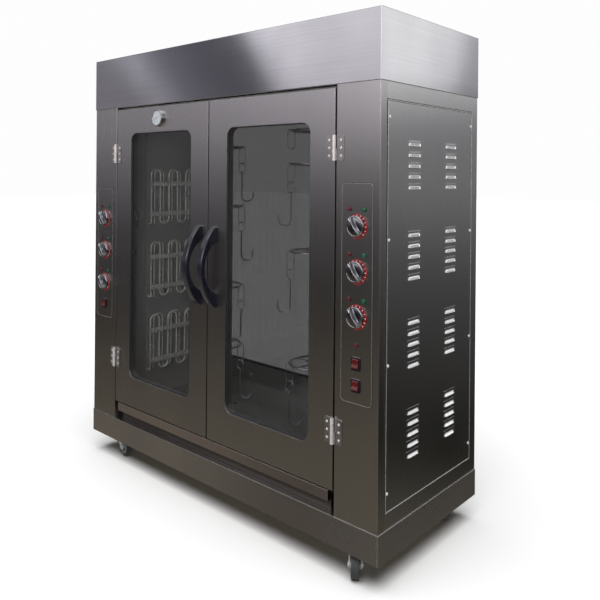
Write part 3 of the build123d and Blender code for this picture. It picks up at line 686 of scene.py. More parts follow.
def faced(name: str, middle: Point, radius: float, depth: float, steps: Steps, edge: float,
          segments: int = 2, around: int = 48, limit: float = 30.0) -> Piece:
    """Model a round piece with steps in its front face and rounded edges.

    Args:
        name: Name of the piece.
        middle: Its middle.
        radius: Its radius.
        depth: Its length along Y.
        steps: For each step in its face the width and the lift.
        edge: Width of the bevel.
        segments: Steps across the bevel.
        around: Sides round the circle.
        limit: Angle in degrees above which an edge is sharp.

    Returns:
        The piece.
    """
    piece = drum(name, middle, radius, depth, around=around)
    dish(piece, middle[1] - depth / 2, steps)
    return rounded(piece, edge, segments, limit)


def cornered(piece: Piece, radius: float, segments: int, place: float | None = None) -> Piece:
    """Round the corners of a block that faces the front.

    Args:
        piece: The block.
        radius: Radius of the corners.
        segments: Steps round a corner.
        place: Where across the corners lie, or None for all four.

    Returns:
        The same piece.
    """
    with editing(piece):
        pick(piece, "EDGE", lambda at, along: abs(along.y) > FACING
             and (place is None or abs(at.x - place) < TOUCHING))
        bpy.ops.mesh.bevel(offset=radius, segments=segments, affect="EDGES")
    return piece


def hollowed(piece: Piece, axis: int, width: float) -> Piece:
    """Open the middle of a flat piece, so that a ring is left.

    Args:
        piece: The piece, with one flat face at each end of the axis.
        axis: Index of the axis the opening runs along.
        width: Width of the ring.

    Returns:
        The same piece.
    """
    middle = sum((Vector(corner) for corner in piece.bound_box), Vector()) / 8
    across = [index for index in range(3) if index != axis]
    with editing(piece):
        pick(piece, "FACE", lambda at, normal: abs(normal[axis]) > FACING)
        bpy.ops.mesh.inset(thickness=width)
        pick(piece, "FACE", lambda at, normal: abs(normal[axis]) > FACING
             and all(abs(at[index] - middle[index]) < 0.01 for index in across))
        bpy.ops.mesh.bridge_edge_loops()
        bpy.ops.mesh.select_all(action="SELECT")
        bpy.ops.mesh.normals_make_consistent(inside=False)
    return piece


# Sub-assemblies


@dataclass
class Studio:
    """Floor, lights, backdrop and camera.

    Attributes:
        eye: Place of the camera.
        yaw: Turn of the camera to the left of +Y, in degrees.
        roll: Roll of the camera, in degrees.
        lens: Focal length on a 36 mm sensor.
        shift: Vertical lens shift, in frame widths.
        floor_half: Half the width of the floor.
        floor_tone: Tone of the floor.
        backdrop: Tone of the backdrop as the camera sees it.
        ambient: Strength of the soft light from all round.
        sun: Strength of the soft light from above.
        sun_angle: Width of that light, in degrees.
        sun_place: Direction it comes from.
        aim: The point the softboxes face.
        softboxes: Name, place, width and watts of each softbox.
        front_mirror: What the doors' side reflects, by height of the ray.
        side_mirror: What the louvred side reflects, by height of the ray.
        lean: How much a ray's height counts in its lean.
        upper_tones: Factor on rays that go up, by their lean.
        lower_tones: Factor on rays that go down, by their turn.
        upper_share: Change from lower to upper factors, by height.
        side_share: Change from the doors' to the louvred side, by turn.
        middle_boost: Factor that lights the middle, by turn.
        lamp_boost: Factor that stands for ceiling lamps, by height.
    """

    eye: Point = (1.76495, -1.74501, 1.16052)
    yaw: float = 41.77
    roll: float = 0.477
    lens: float = 39.374
    shift: float = -0.20855
    floor_half: float = 30.0
    floor_tone: float = 0.93
    backdrop: float = 0.985
    ambient: float = 0.06
    sun: float = 3.75
    sun_angle: float = 62.0
    sun_place: Point = (0.12, -0.20, 1.0)
    aim: Point = (0.0, 0.0, 0.8)
    softboxes: tuple[tuple[str, Point, float, float], ...] = (
        ("front_fill", (1.6, -3.4, 1.9), 2.4, 62.0), ("left_fill", (-2.4, -2.6, 1.8), 2.0, 24.0))
    front_mirror: Stops = (
        (-0.60, (0.175, 0.154, 0.120)), (-0.42, (0.167, 0.147, 0.115)), (-0.30, (0.116, 0.101, 0.080)),
        (-0.20, (0.042, 0.039, 0.035)), (-0.08, (0.044, 0.042, 0.044)), (0.02, (0.17, 0.165, 0.18)),
        (0.09, (0.74, 0.70, 0.75)), (0.20, (1.15, 1.12, 1.18)), (0.34, (1.1, 1.08, 1.10)),
        (0.46, (0.50, 0.50, 0.51)), (0.84, (0.44, 0.44, 0.45)), (0.90, 0.20), (1.0, 0.18))
    side_mirror: Stops = (
        (-0.60, (0.09, 0.08, 0.062)), (-0.47, (0.09, 0.082, 0.067)), (-0.38, (0.006, 0.006, 0.005)),
        (-0.27, (0.036, 0.035, 0.034)), (-0.14, (0.070, 0.069, 0.069)), (0.0, (0.215, 0.21, 0.215)),
        (0.08, (0.24, 0.235, 0.25)), (0.14, (1.14, 1.14, 1.15)), (0.26, 1.2), (0.36, 0.50),
        (0.84, 0.43), (0.90, 0.20), (1.0, 0.18))
    lean: float = 0.31
    upper_tones: Stops = (
        (-1.0, (0.34, 0.34, 0.35)), (-0.83, (0.30, 0.30, 0.31)), (-0.79, (0.28, 0.28, 0.29)),
        (-0.768, (0.50, 0.50, 0.52)), (-0.745, (0.20, 0.20, 0.22)), (-0.70, (0.11, 0.11, 0.125)),
        (-0.650, (0.10, 0.10, 0.115)), (-0.644, (0.88, 0.88, 0.90)), (-0.60, (1.0, 0.99, 1.0)),
        (-0.55, (0.86, 0.85, 0.86)), (0.05, 0.9), (0.25, (0.40, 0.40, 0.41)),
        (0.50, (0.45, 0.45, 0.46)), (0.525, (0.82, 0.82, 0.83)), (0.56, 1.0), (1.0, 1.0))
    lower_tones: Stops = (
        (-1.0, 1.15), (-0.78, 1.30), (-0.72, 1.24), (-0.66, (0.68, 0.68, 0.69)),
        (-0.60, (0.50, 0.50, 0.51)), (-0.50, 0.60), (0.0, 1.0), (0.42, 0.98), (0.60, 1.28), (1.0, 1.28))
    upper_share: Stops = ((-0.6, 0.0), (-0.01, 0.0), (0.10, 1.0), (0.6, 1.0))
    side_share: Stops = ((-1.0, 0.0), (-0.2, 0.0), (0.2, 1.0), (1.0, 1.0))
    middle_boost: Stops = ((-1.0, 1.0), (-0.45, 1.0), (-0.15, 3.0), (0.10, 3.0), (0.32, 1.0), (1.0, 1.0))
    lamp_boost: Stops = ((0.5, 1.0), (0.66, 1.0), (0.72, 3.5), (0.80, 3.5), (0.86, 1.0), (1.0, 1.0))

    def make_camera(self) -> None:
        """Create the camera at the photograph's viewing angle."""
        data = bpy.data.cameras.new("camera")
        data.sensor_width = 36.0
        data.sensor_fit = "HORIZONTAL"
        data.lens = self.lens
        data.shift_y = self.shift
        data.clip_end = 200.0
        camera = bpy.data.objects.new("camera", data)
        bpy.context.scene.collection.objects.link(camera)
        upright = Matrix.Rotation(math.radians(self.yaw), 4, "Z") @ Matrix.Rotation(math.pi / 2, 4, "X")
        camera.matrix_world = (Matrix.Translation(Vector(self.eye)) @ upright
                               @ Matrix.Rotation(math.radians(self.roll), 4, "Z"))
        bpy.context.scene.camera = camera

    def make_floor(self) -> None:
        """Create the pale floor."""
        bpy.ops.object.select_all(action="DESELECT")
        bpy.ops.mesh.primitive_plane_add(size=2 * self.floor_half, location=ORIGIN)
        floor = bpy.context.object
        floor.name = "studio_floor"
        paint = bpy.data.materials.new("studio_paint")
        paint.use_nodes = True
        shader = paint.node_tree.nodes["Principled BSDF"]
        Wiring(paint.node_tree).feed(shader, {"Base Color": (*(self.floor_tone,) * 3, 1.0),
                                              "Roughness": 0.9, "Specular IOR Level": 0.0})
        floor.data.materials.append(paint)
        floor.visible_glossy = False

    def make_world(self) -> None:
        """Create the backdrop: pale to the eye, graded in reflections and soft as a light."""
        world = bpy.data.worlds.new("studio_world")
        bpy.context.scene.world = world
        world.use_nodes = True
        tree = world.node_tree
        tree.nodes.clear()
        wiring = Wiring(tree)
        rays = wiring.add("LightPath", {}).outputs
        place = wiring.add("TexCoord", {}).outputs["Generated"]
        parts = wiring.add("SeparateXYZ", {"Vector": place}).outputs
        turn, height = parts["X"], parts["Z"]
        leaning = wiring.math("MULTIPLY_ADD", height, self.lean, turn)
        both = wiring.mixed("MIX", wiring.ramp(turn, self.side_share),
                            wiring.ramp(height, self.front_mirror),
                            wiring.ramp(height, self.side_mirror))
        graded = wiring.mixed("MIX", wiring.ramp(height, self.upper_share),
                              wiring.scaled(both, turn, self.lower_tones),
                              wiring.scaled(both, leaning, self.upper_tones))
        boosted = wiring.scaled(graded, turn, self.middle_boost)
        mirror = wiring.add("Background", {"Color": wiring.scaled(boosted, height, self.lamp_boost)})
        soft = wiring.add("Background", {"Color": (*EVEN, 1.0), "Strength": self.ambient})
        seen = wiring.add("Background", {"Color": (*(self.backdrop,) * 3, 1.0)})
        lit = wiring.add("MixShader", {0: rays["Is Glossy Ray"], 1: soft.outputs[0],
                                       2: mirror.outputs[0]})
        shown = wiring.add("MixShader", {0: rays["Is Camera Ray"], 1: lit.outputs[0],
                                         2: seen.outputs[0]})
        wiring.add("OutputWorld", {"Surface": shown.outputs[0]})

    @staticmethod
    def hang(name: str, kind: str, power: float, facing: Vector) -> Piece:
        """Add a light that shows in no reflection.

        Args:
            name: Name of the light.
            kind: AREA or SUN.
            power: Its strength.
            facing: Direction it shines in.

        Returns:
            The light.
        """
        data = bpy.data.lights.new(name, kind)
        data.energy = power
        light = bpy.data.objects.new(name, data)
        bpy.context.scene.collection.objects.link(light)
        light.rotation_euler = facing.to_track_quat("-Z", "Y").to_euler()
        light.visible_glossy = False
        return light

    def make_lights(self) -> None:
        """Hang the softboxes and the soft light from above that grounds the cabinet."""
        skipped = bpy.data.collections.new("floor_left_out")
        skipped.objects.link(bpy.data.objects["studio_floor"])
        skipped.collection_objects[0].light_linking.link_state = "EXCLUDE"
        for name, place, size, power in self.softboxes:
            light = self.hang(name, "AREA", power, Vector(self.aim) - Vector(place))
            light.data.size = size
            light.location = place
            light.visible_camera = False
            light.light_linking.receiver_collection = skipped
        above = self.hang("above", "SUN", self.sun, -Vector(self.sun_place))
        above.data.angle = math.radians(self.sun_angle)

    def build(self) -> None:
        """Set up the whole studio."""
        bpy.context.scene.view_settings.view_transform = "Standard"
        self.make_camera()
        self.make_floor()
        self.make_world()
        self.make_lights()


@dataclass
class Sheetwork:
    """The cabinet's sheets, which keep their CAD shapes and get their finishes.

    Attributes:
        finishes: Each finish with what it goes on: nodes, or a part of several nodes' names.
    """

    finishes: tuple[tuple[Finish, str], ...] = (
        (HOOD_STEEL, "hood"), (SKIRT_STEEL, "base_frame base_deck"),
        (POST_STEEL, "_front_post control_plates"), (DOOR_STEEL, "_door_frame"),
        (SIDE_STEEL, "side_casings louvre_panels back_frame"), (LINER_STEEL, "_door_liner"),
        (CHAMBER_STEEL, "chamber_walls chamber_ceiling"), (FLOOR_STEEL, "chamber_floor"),
        (DOOR_PANE, "_door_glass"), (BACK_PANE, "rear_glass"),
        (BLACK_GLOSS, "_door_handle switch_bezels"), (BLACK_SATIN_AND_SHADE, "cable_gland"),
        (HINGE_STEEL, "hinge_plates _hinge_leaves shaft_bearings thermometer"),
        # the drip tray's pan wears painted shade; its lip wears its own steel
        (PAN_SHADE, "drip_tray"), (TRAY_STEEL, "tray_lip"), (HEATER_STEEL, "heaters heater_clamps"),
        (WIRE_STEEL, "_carousel _hangers"), (MOTOR_CAST, "gear_motors"),
        (CERAMIC, "terminal_block thermostats"), (SCREW_STEEL, "panel_screws"),
        (DIAL_RED, "dial_rings"), (LAMP_RED, "pilot_lamps"), (KNOB_CHROME, "knob_"),
        (ROCKER_RED, "rocker_"), (ZINC, "caster_plates _fork"), (TYRE_RUBBER, "_wheel"))

    def build(self, nodes: dict[str, Piece]) -> None:
        """Dress every CAD node.

        Args:
            nodes: The frame's node objects by name.
        """
        for name, node in nodes.items():
            dress(node, *(finish for finish, parts in self.finishes
                          if any(part in name for part in parts.split())))


@dataclass
class ControlPosts:
    """Knobs, dial rings and pilot lamps on the two posts.

    Attributes:
        post: Distance of the controls' line from the middle.
        plate: Depth of the cover plates' faces.
        heights: Heights of the knobs on each side, by word.
        cap_radius: Radius of a knob.
        cap_depth: Depth of its cap.
        cap_steps: Width and lift of the steps in its face.
        grip: Lowest and highest corner of its grip.
        pointer: Lowest and highest corner of its pointer.
        waist: Height of the grip's ends, and how much its middle is drawn in.
        crown: How far the grip's ends fall back.
        ridge: Depth in front of which the grip is narrowed, and by what factor.
        knob_turn: Turn of the knobs, in degrees.
        dial_thick: Thickness of a dial ring.
        dial_radius: Radius of a dial ring.
        dial_steps: Width and lift of the steps in its face.
        marks: Number of marks on a dial.
        mark_edge: Distance of the marks from the ring's edge.
        mark_lengths: Lengths of the marks with and without a number.
        numbers: Numbers on a dial, one to every second mark.
        number_edge: Distance of the numbers from the ring's edge.
        number_size: Height of the numbers.
        first_mark: Turn of the first mark from the top, in degrees.
        mark_pitch: Turn from mark to mark, in degrees.
        lamp_shift: How far a lamp stands beside its knob's line.
        lamp_rise: How far a lamp stands above its knob.
        lone_lamp: Height of the right post's lowest lamp.
        flange: Radius of a lamp's flange.
        flange_steps: Width and lift of the steps in its face.
        lens: Radius of a lamp's lens.
        lens_steps: Width and lift of the steps in its face.
    """

    post: float = 0.649
    plate: float = -0.2512
    heights: dict[str, tuple[float, float, float]] = field(default_factory=lambda: {
        "left": (0.975, 0.844, 0.712), "right": (1.016, 0.887, 0.759)})
    cap_radius: float = 0.0305
    cap_depth: float = 0.010
    cap_steps: Steps = ((0.0016, 0.0012), (0.0022, 0.0), (0.0008, -0.0012), (0.0040, 0.0008),
                        (0.0060, 0.0006), (0.0070, 0.0003))
    grip: tuple[Point, Point] = ((-0.0290, -0.0225, -0.0100), (0.0300, -0.0080, 0.0100))
    pointer: tuple[Point, Point] = ((0.0150, -0.0213, -0.0008), (0.0262, -0.0180, 0.0008))
    waist: tuple[float, float] = (0.92, 0.40)
    crown: float = 0.0035
    ridge: tuple[float, float] = (-0.015, 0.62)
    knob_turn: float = -122.0
    dial_thick: float = 0.0015
    dial_radius: float = 0.0358
    dial_steps: Steps = ((0.0008, 0.0), (0.0006, -0.0004))
    marks: int = 13
    mark_edge: float = 0.0022
    mark_lengths: tuple[float, float] = (0.0040, 0.0024)
    numbers: tuple[str, ...] = ("0", "50", "100", "150", "200", "250", "300")
    number_edge: float = 0.0088
    number_size: float = 0.0036
    first_mark: float = -135.0
    mark_pitch: float = 22.5
    lamp_shift: float = 0.026
    lamp_rise: float = 0.049
    lone_lamp: float = 0.680
    flange: float = 0.0078
    flange_steps: Steps = ((0.0013, 0.0), (0.0004, -0.0007))
    lens: float = 0.0062
    lens_steps: Steps = ((0.0016, 0.0), (0.0018, 0.0004), (0.0014, 0.0002))

    def places(self) -> list[tuple[str, Point]]:
        """Return each knob's name with the middle of its dial face."""
        found = []
        for word, side in SIDES:
            for index, height in enumerate(self.heights[word]):
                found.append((f"knob_{word}_{index + 1}",
                              (side * self.post, self.plate - self.dial_thick, height)))
        return found

    def make_cap(self) -> Piece:
        """Model one knob at the origin, its back on y 0: a domed cap with a waisted grip.

        Returns:
            The knob.
        """
        cap = faced("knob_cap", (0.0, -self.cap_depth / 2 - 0.0005, 0.0), self.cap_radius,
                    self.cap_depth, self.cap_steps, 0.0005, around=72, limit=55.0)
        spindle = rounded(drum("knob_spindle", (0.0, 0.008, 0.0), 0.003, 0.018, around=24), 0.0005, 1)
        grip = brick("knob_grip", *self.grip)
        with editing(grip):
            pick(grip, "EDGE", lambda at, along: abs(along.x) > FACING)
            bpy.ops.mesh.subdivide(number_cuts=6)
            mesh = bmesh.from_edit_mesh(grip.data)
            for vertex in mesh.verts:
                near = 1.0 - abs(vertex.co.x) / self.grip[1][0]
                drawn = math.sin(math.pi * min(max(near, 0.0), 1.0) / 2) ** 2
                vertex.co.z *= self.waist[0] - self.waist[1] * drawn
                vertex.co.y += self.crown * (1.0 - near) ** 2 if vertex.co.y < self.ridge[0] else 0.0
                vertex.co.z *= self.ridge[1] if vertex.co.y < self.ridge[0] else 1.0
            bmesh.update_edit_mesh(grip.data)
        rounded(grip, 0.0016, 3, 28.0)
        pointer = rounded(brick("knob_pointer", *self.pointer), 0.0003, 2)
        for piece, worn in ((cap, 0), (spindle, 0), (grip, 0), (pointer, 1)):
            dress(piece, KNOB_CHROME, DIAL_WHITE, worn=worn)
        whole = join("knob_blank", (cap, spindle, grip, pointer))
        return turned_about(whole, ORIGIN, DEPTH_AXIS, self.knob_turn)

    def make_knobs(self) -> None:
        """Copy the knob to its six places."""
        blank = self.make_cap()
        for name, place in self.places():
            knob = copied(blank, f"{name}_chrome", (place[0], place[1] - 0.0003, place[2]))
            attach(knob, name)
            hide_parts(name)
        bpy.data.objects.remove(blank)

    def make_dial(self) -> Piece:
        """Model one dial ring with its marks and numbers, its back on y 0.

        Returns:
            The ring.
        """
        ring = faced("dial_blank", (0.0, -self.dial_thick / 2, 0.0), self.dial_radius, self.dial_thick,
                     self.dial_steps, 0.0003, around=72)
        dress(ring, DIAL_RED, DIAL_WHITE)
        marks = []
        face, outer = -self.dial_thick, self.dial_radius - self.mark_edge
        for step in range(self.marks):
            long = self.mark_lengths[step % 2]
            mark = brick("dial_mark", (-0.0007, face - 0.0001, outer - long),
                         (0.0007, face + 0.0006, outer))
            turn = self.first_mark + self.mark_pitch * step
            marks.append(turned_about(mark, ORIGIN, DEPTH_AXIS, turn))
        for step, number in enumerate(self.numbers):
            turn = self.first_mark + 2 * self.mark_pitch * step
            marks.append(self.make_number(number, math.radians(turn), face))
        for mark in marks:
            dress(mark, DIAL_RED, DIAL_WHITE, worn=1)
        return join("dial_blank", [ring, *marks])

    def make_number(self, number: str, turn: float, face: float) -> Piece:
        """Model a dial number near the ring's outer edge.

        Args:
            number: The number.
            turn: Angle clockwise from the top, in radians.
            face: Depth of the ring's face.

        Returns:
            The number as a mesh.
        """
        bpy.ops.object.select_all(action="DESELECT")
        reach = self.dial_radius - self.number_edge
        bpy.ops.object.text_add(location=(reach * math.sin(turn), face - 0.0001, reach * math.cos(turn)),
                                rotation=Way.FRONT.value)
        text = bpy.context.object
        text.data.body = number
        text.data.size = self.number_size
        text.data.align_x = "CENTER"
        text.data.align_y = "CENTER"
        text.data.extrude = 0.0001
        text.data.resolution_u = 3
        solo(text)
        bpy.ops.object.convert(target="MESH")
        return settle(bpy.context.object)

    def make_dials(self) -> None:
        """Copy the dial ring to its six places and join the copies."""
        blank = self.make_dial()
        rings = []
        for name, place in self.places():
            rings.append(copied(blank, f"dial_{name}", (place[0], self.plate, place[2])))
        bpy.data.objects.remove(blank)
        dials = join("dial_faces", rings)
        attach(dials, "cabinet")
        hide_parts("dial_rings")

    def make_lamp(self, lens_finish: Finish) -> Piece:
        """Model one lamp at the origin, its flange's back on y 0.

        Args:
            lens_finish: Finish of the lens.

        Returns:
            The lamp.
        """
        flange = faced("lamp_flange", (0.0, -0.0006, 0.0), self.flange, 0.0012, self.flange_steps,
                       0.0003, around=40)
        lens = faced("lamp_lens", (0.0, 0.0098, 0.0), self.lens, 0.0280, self.lens_steps, 0.0012, 4, 40)
        dress(flange, BLACK_SATIN_AND_SHADE, lens_finish)
        dress(lens, BLACK_SATIN_AND_SHADE, lens_finish, worn=1)
        return join("lamp_blank", (flange, lens))

    def make_lamps(self) -> None:
        """Copy the lamps to their places, one object to each colour."""
        red = [(self.post, self.lone_lamp)]
        green = []
        for word, side in SIDES:
            for height in self.heights[word]:
                red.append((side * self.post - self.lamp_shift, height + self.lamp_rise))
                green.append((side * self.post + self.lamp_shift, height + self.lamp_rise))
        for name, lens_finish, places in (("lamps_red", LAMP_RED, red),
                                          ("lamps_green", LAMP_GREEN, green)):
            blank = self.make_lamp(lens_finish)
            lamps = [copied(blank, "lamp", (x, self.plate, z)) for x, z in places]
            bpy.data.objects.remove(blank)
            group = join(name, lamps)
            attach(group, "cabinet")
            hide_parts("pilot_lamps")

    def build(self) -> None:
        """Build the controls."""
        self.make_knobs()
        logger.info("knobs")
        self.make_dials()
        logger.info("dial rings")
        self.make_lamps()
        logger.info("pilot lamps")


@dataclass
class DoorGauge:
    """The round thermometer on the left door.

    Attributes:
        place: Middle of the case on the door's face.
        radius: Radius of the case.
        proud: How far the case stands out.
        stem: Radius of the stem.
        reach: How far the stem goes in.
        case_steps: Width and lift of the steps in the case's face.
        marks: Number of marks on the dial.
        mark_edge: Distance of the marks' outer ends from the middle.
        first_mark: Turn of the first mark from the top, in degrees.
        mark_pitch: Turn from mark to mark, in degrees.
        needle_turn: Turn of the needle, in degrees.
    """

    place: Point = (-0.286, -0.250, 1.371)
    radius: float = 0.031
    proud: float = 0.013
    stem: float = 0.0036
    reach: float = 0.060
    case_steps: Steps = ((0.0012, 0.0), (0.0026, 0.0), (0.0008, -0.0020))
    marks: int = 31
    mark_edge: float = 0.0250
    first_mark: float = -135.0
    mark_pitch: float = 9.0
    needle_turn: float = -112.0

    def build(self) -> None:
        """Build the case, dial, needle, glass and stem."""
        x, y, z = self.place
        case = faced("gauge_case", (x, y - self.proud / 2, z), self.radius, self.proud,
                     self.case_steps, 0.0008, 3, 72)
        stem = rounded(drum("gauge_stem", (x, y + self.reach / 2, z), self.stem, self.reach, around=24),
                       0.001, 2)
        dial = rounded(drum("gauge_dial", (x, y - self.proud + 0.0022, z), self.radius - 0.0044, 0.0010,
                            around=64), 0.0002, 1)
        face = y - self.proud + 0.0017
        marks = []
        for step in range(self.marks):
            long = 0.0042 if step % 5 == 0 else 0.0022
            mark = brick("gauge_mark", (x - 0.0003, face - 0.0001, z + self.mark_edge - long),
                         (x + 0.0003, face + 0.0003, z + self.mark_edge))
            marks.append(turned_about(mark, (x, face, z), DEPTH_AXIS,
                                      self.first_mark + self.mark_pitch * step))
        needle = brick("gauge_needle", (x - 0.0007, face - 0.0009, z - 0.0060),
                       (x + 0.0007, face - 0.0004, z + 0.0190))
        marks.append(turned_about(needle, (x, face, z), DEPTH_AXIS, self.needle_turn))
        marks.append(rounded(drum("gauge_boss", (x, face - 0.0006, z), 0.0020, 0.0012, around=24),
                             0.0003, 2))
        for worn, group in enumerate(([case, stem], [dial], marks)):
            for piece in group:
                dress(piece, GAUGE_STEEL, GAUGE_FACE, GAUGE_MARKS, worn=worn)
        gauge = join("gauge", [case, stem, dial, *marks])
        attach(gauge, "left_door")
        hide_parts("thermometer")
        cover = drum("gauge_cover", (x, y - self.proud + 0.0004, z), self.radius - 0.0045, 0.0006,
                     around=64)
        dress(rounded(cover, 0.0001, 1), GAUGE_GLASS)
        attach(cover, "left_door")
        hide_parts("thermometer")
        logger.info("door gauge")


@dataclass
class DoorHinges:
    """Butt hinges between the doors and the posts.

    Attributes:
        axis: Distance of the hinge axes from the middle.
        front: Depth of the doors' and posts' faces.
        heights: Middles of the hinges.
        half: Half the length of a hinge.
        leaf: Width of a leaf.
        plate: Thickness of a leaf.
        barrel: Radius of the barrel.
        pin: Radius of the pin.
        proud: How far the barrel's axis stands out.
        gap: Gap between barrel and leaf edge.
        parting: Half the gap between the two knuckles.
        corner: Radius of a leaf's corners.
        screws: Places of a leaf's screws, from its middle.
        head: Radius of a screw's head.
        head_steps: Width and lift of the steps in its face.
        cross: Half the length and half the width of its cross's bars.
        screw_turn: Turn of the screws, in degrees.
        finishes: Finishes of leaf, screws, the crosses' painted shade and barrel.
    """

    axis: float = 0.568
    front: float = -0.250
    heights: tuple[float, float] = (0.416, 1.240)
    half: float = 0.0375
    leaf: float = 0.026
    plate: float = 0.0025
    barrel: float = 0.0055
    pin: float = 0.0025
    proud: float = 0.007
    gap: float = 0.0005
    parting: float = 0.00015
    corner: float = 0.006
    screws: tuple[float, float, float] = (-0.023, 0.0, 0.023)
    head: float = 0.0037
    head_steps: Steps = ((0.0010, 0.0002), (0.0012, 0.0001))
    cross: tuple[float, float] = (0.0022, 0.0004)
    screw_turn: float = 28.0
    finishes: tuple[Finish, ...] = (HINGE_STEEL, SCREW_STEEL, BLACK_SATIN_AND_SHADE, BARREL_STEEL)

    def make_screw(self) -> Piece:
        """Model one cross-head screw at the origin, its head's back on y 0.

        Returns:
            The screw head.
        """
        head = faced("screw_head", (0.0, -0.0007, 0.0), self.head, 0.0014, self.head_steps, 0.0006,
                     3, 32)
        dress(head, *self.finishes, worn=1)
        long, thick = self.cross
        bars = []
        # Each cross is a black bar on the head, painted shade for the recess.
        for x, z in ((long, thick), (thick, long)):
            bar = brick("screw_cross", (-x, -0.0018, -z), (x, -0.0010, z))
            bars.append(dress(bar, *self.finishes, worn=2))
        screw = join("screw_blank", (head, *bars))
        return turned_about(screw, ORIGIN, DEPTH_AXIS, self.screw_turn)

    def make_half(self, screw: Piece, side: int, height: float, on_door: bool) -> Piece:
        """Model one leaf with its knuckle and screws.

        Args:
            screw: The screw to copy.
            side: -1 for the left door, 1 for the right.
            height: Middle of the hinge.
            on_door: Whether the leaf is the door's.

        Returns:
            The hinge half.
        """
        inwards = -1 if on_door else 1
        near = side * (self.axis + inwards * (self.barrel + self.gap))
        far = side * (self.axis + inwards * (self.barrel + self.gap + self.leaf))
        leaf = brick("leaf", (near, self.front - self.plate, height - self.half),
                     (far, self.front, height + self.half))
        rounded(cornered(leaf, self.corner, 6, far), 0.0005, 2)
        knuckle = sorted((height - inwards * self.parting, height - inwards * self.half))
        neck = brick("neck", (side * self.axis, self.front - self.plate - 0.002, knuckle[0]),
                     (near + side * inwards * 0.004, self.front - 0.0003, knuckle[1]))
        x, y = side * self.axis, self.front - self.proud
        pieces = [leaf, rounded(neck, 0.0005, 2)]
        barrel = drum("barrel", (x, y, sum(knuckle) / 2), self.barrel, knuckle[1] - knuckle[0],
                      Way.UP, 32)
        pieces.append(rounded(barrel, 0.0006, 2))
        if not on_door:
            pin = drum("pin", (x, y, height), self.pin, 2 * self.half, Way.UP, 20)
            pieces.append(rounded(pin, 0.0004, 2))
        for index, piece in enumerate(pieces):
            dress(piece, *self.finishes, worn=3 if index > 1 else 0)
        middle = (near + far) / 2 + side * inwards * 0.003
        for shift in self.screws:
            pieces.append(copied(screw, "leaf_screw", (middle, self.front - self.plate,
                                                       height + shift)))
        return join("hinge_half", pieces)

    def build(self) -> None:
        """Build the post leaves and each door's leaves."""
        screw = self.make_screw()
        riders = {"hinge_plates": "cabinet", "left_hinge_leaves": "left_door",
                  "right_hinge_leaves": "right_door"}
        groups: dict[str, list[Piece]] = {node: [] for node in riders}
        for word, side in SIDES:
            for height in self.heights:
                for node, on_door in (("hinge_plates", False), (f"{word}_hinge_leaves", True)):
                    groups[node].append(self.make_half(screw, side, height, on_door))
        bpy.data.objects.remove(screw)
        for node, halves in groups.items():
            hinge = join(f"{node}_dressed", halves)
            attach(hinge, riders[node])
            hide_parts(node)
        logger.info("hinges")


@dataclass
class WindowSeals:
    """Black rubber seals round the door panes.

    Attributes:
        middle: Distance of a window's middle from the cabinet's.
        height: Height of the windows' middle.
        width: Width of a window.
        tall: Height of a window.
        corner: Corner radius.
        front: Depth of the seal's front.
        glass: Depth of the pane's face.
        lip: Width of the seal.
    """

    middle: float = 0.283
    height: float = 0.836
    width: float = 0.374
    tall: float = 0.966
    corner: float = 0.033
    front: float = -0.2432
    glass: float = -0.2412
    lip: float = 0.0030

    def make_seal(self, name: str, side: int) -> Piece:
        """Model one seal as a rounded ring.

        Args:
            name: Name of the seal.
            side: -1 for the left door, 1 for the right.

        Returns:
            The seal.
        """
        x = side * self.middle
        half = (self.width / 2 - 0.0003, self.tall / 2 - 0.0003)
        ring = brick(name, (x - half[0], self.front, self.height - half[1]),
                     (x + half[0], self.glass, self.height + half[1]))
        return rounded(hollowed(cornered(ring, self.corner, 10), 1, self.lip), 0.0012)

    def build(self) -> None:
        """Build both seals."""
        for word, side in SIDES:
            seal = dress(self.make_seal(f"{word}_window_seal", side), GASKET_RUBBER)
            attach(seal, f"{word}_door")
        logger.info("window seals")


@dataclass
class PlateRims:
    """Raised edges of the cover plates on the posts, with the dark joints round them.

    Attributes:
        middle: Distance of a plate's middle from the cabinet's.
        face: Depth of the posts' faces.
        width: Width of a plate.
        heights: Lower and upper edge of each plate, by word.
        corner: Corner radius.
        rim: Width of the raised edge.
        joint: Width of the joint.
    """

    middle: float = 0.649
    face: float = -0.250
    width: float = 0.110
    heights: dict[str, tuple[float, float]] = field(default_factory=lambda: {
        "left": (0.567, 1.097), "right": (0.512, 1.139)})
    corner: float = 0.012
    rim: float = 0.0018
    joint: float = 0.0016

    def make_ring(self, name: str, word: str, grow: float, width: float,
                  depths: tuple[float, float]) -> Piece:
        """Model a ring with rounded corners round a plate's edge.

        Args:
            name: Name of the ring.
            word: left or right.
            grow: How far the ring's outer edge lies outside the plate's.
            width: Width of the ring.
            depths: Its front and back.

        Returns:
            The ring.
        """
        x = self.middle if word == "right" else -self.middle
        half = self.width / 2 + grow
        low, high = self.heights[word]
        ring = brick(name, (x - half, depths[0], low - grow), (x + half, depths[1], high + grow))
        return hollowed(cornered(ring, self.corner + grow, 8), 1, width)

    def build(self) -> None:
        """Build the rims and joints of both plates."""
        for word in ("left", "right"):
            rim = self.make_ring(f"{word}_plate_rim", word, 0.0, self.rim,
                                 (self.face - 0.0018, self.face - 0.0008))
            joint = self.make_ring(f"{word}_plate_joint", word, self.joint, self.joint - 0.0001,
                                   (self.face - 0.0002, self.face + 0.0006))
            dress(rounded(rim, 0.0004, 2), FOLD_STEEL)
            dress(rounded(joint, 0.00008, 1), JOINT_SHADOW)
            for piece in (rim, joint):
                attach(piece, "cabinet")
        logger.info("plate rims")


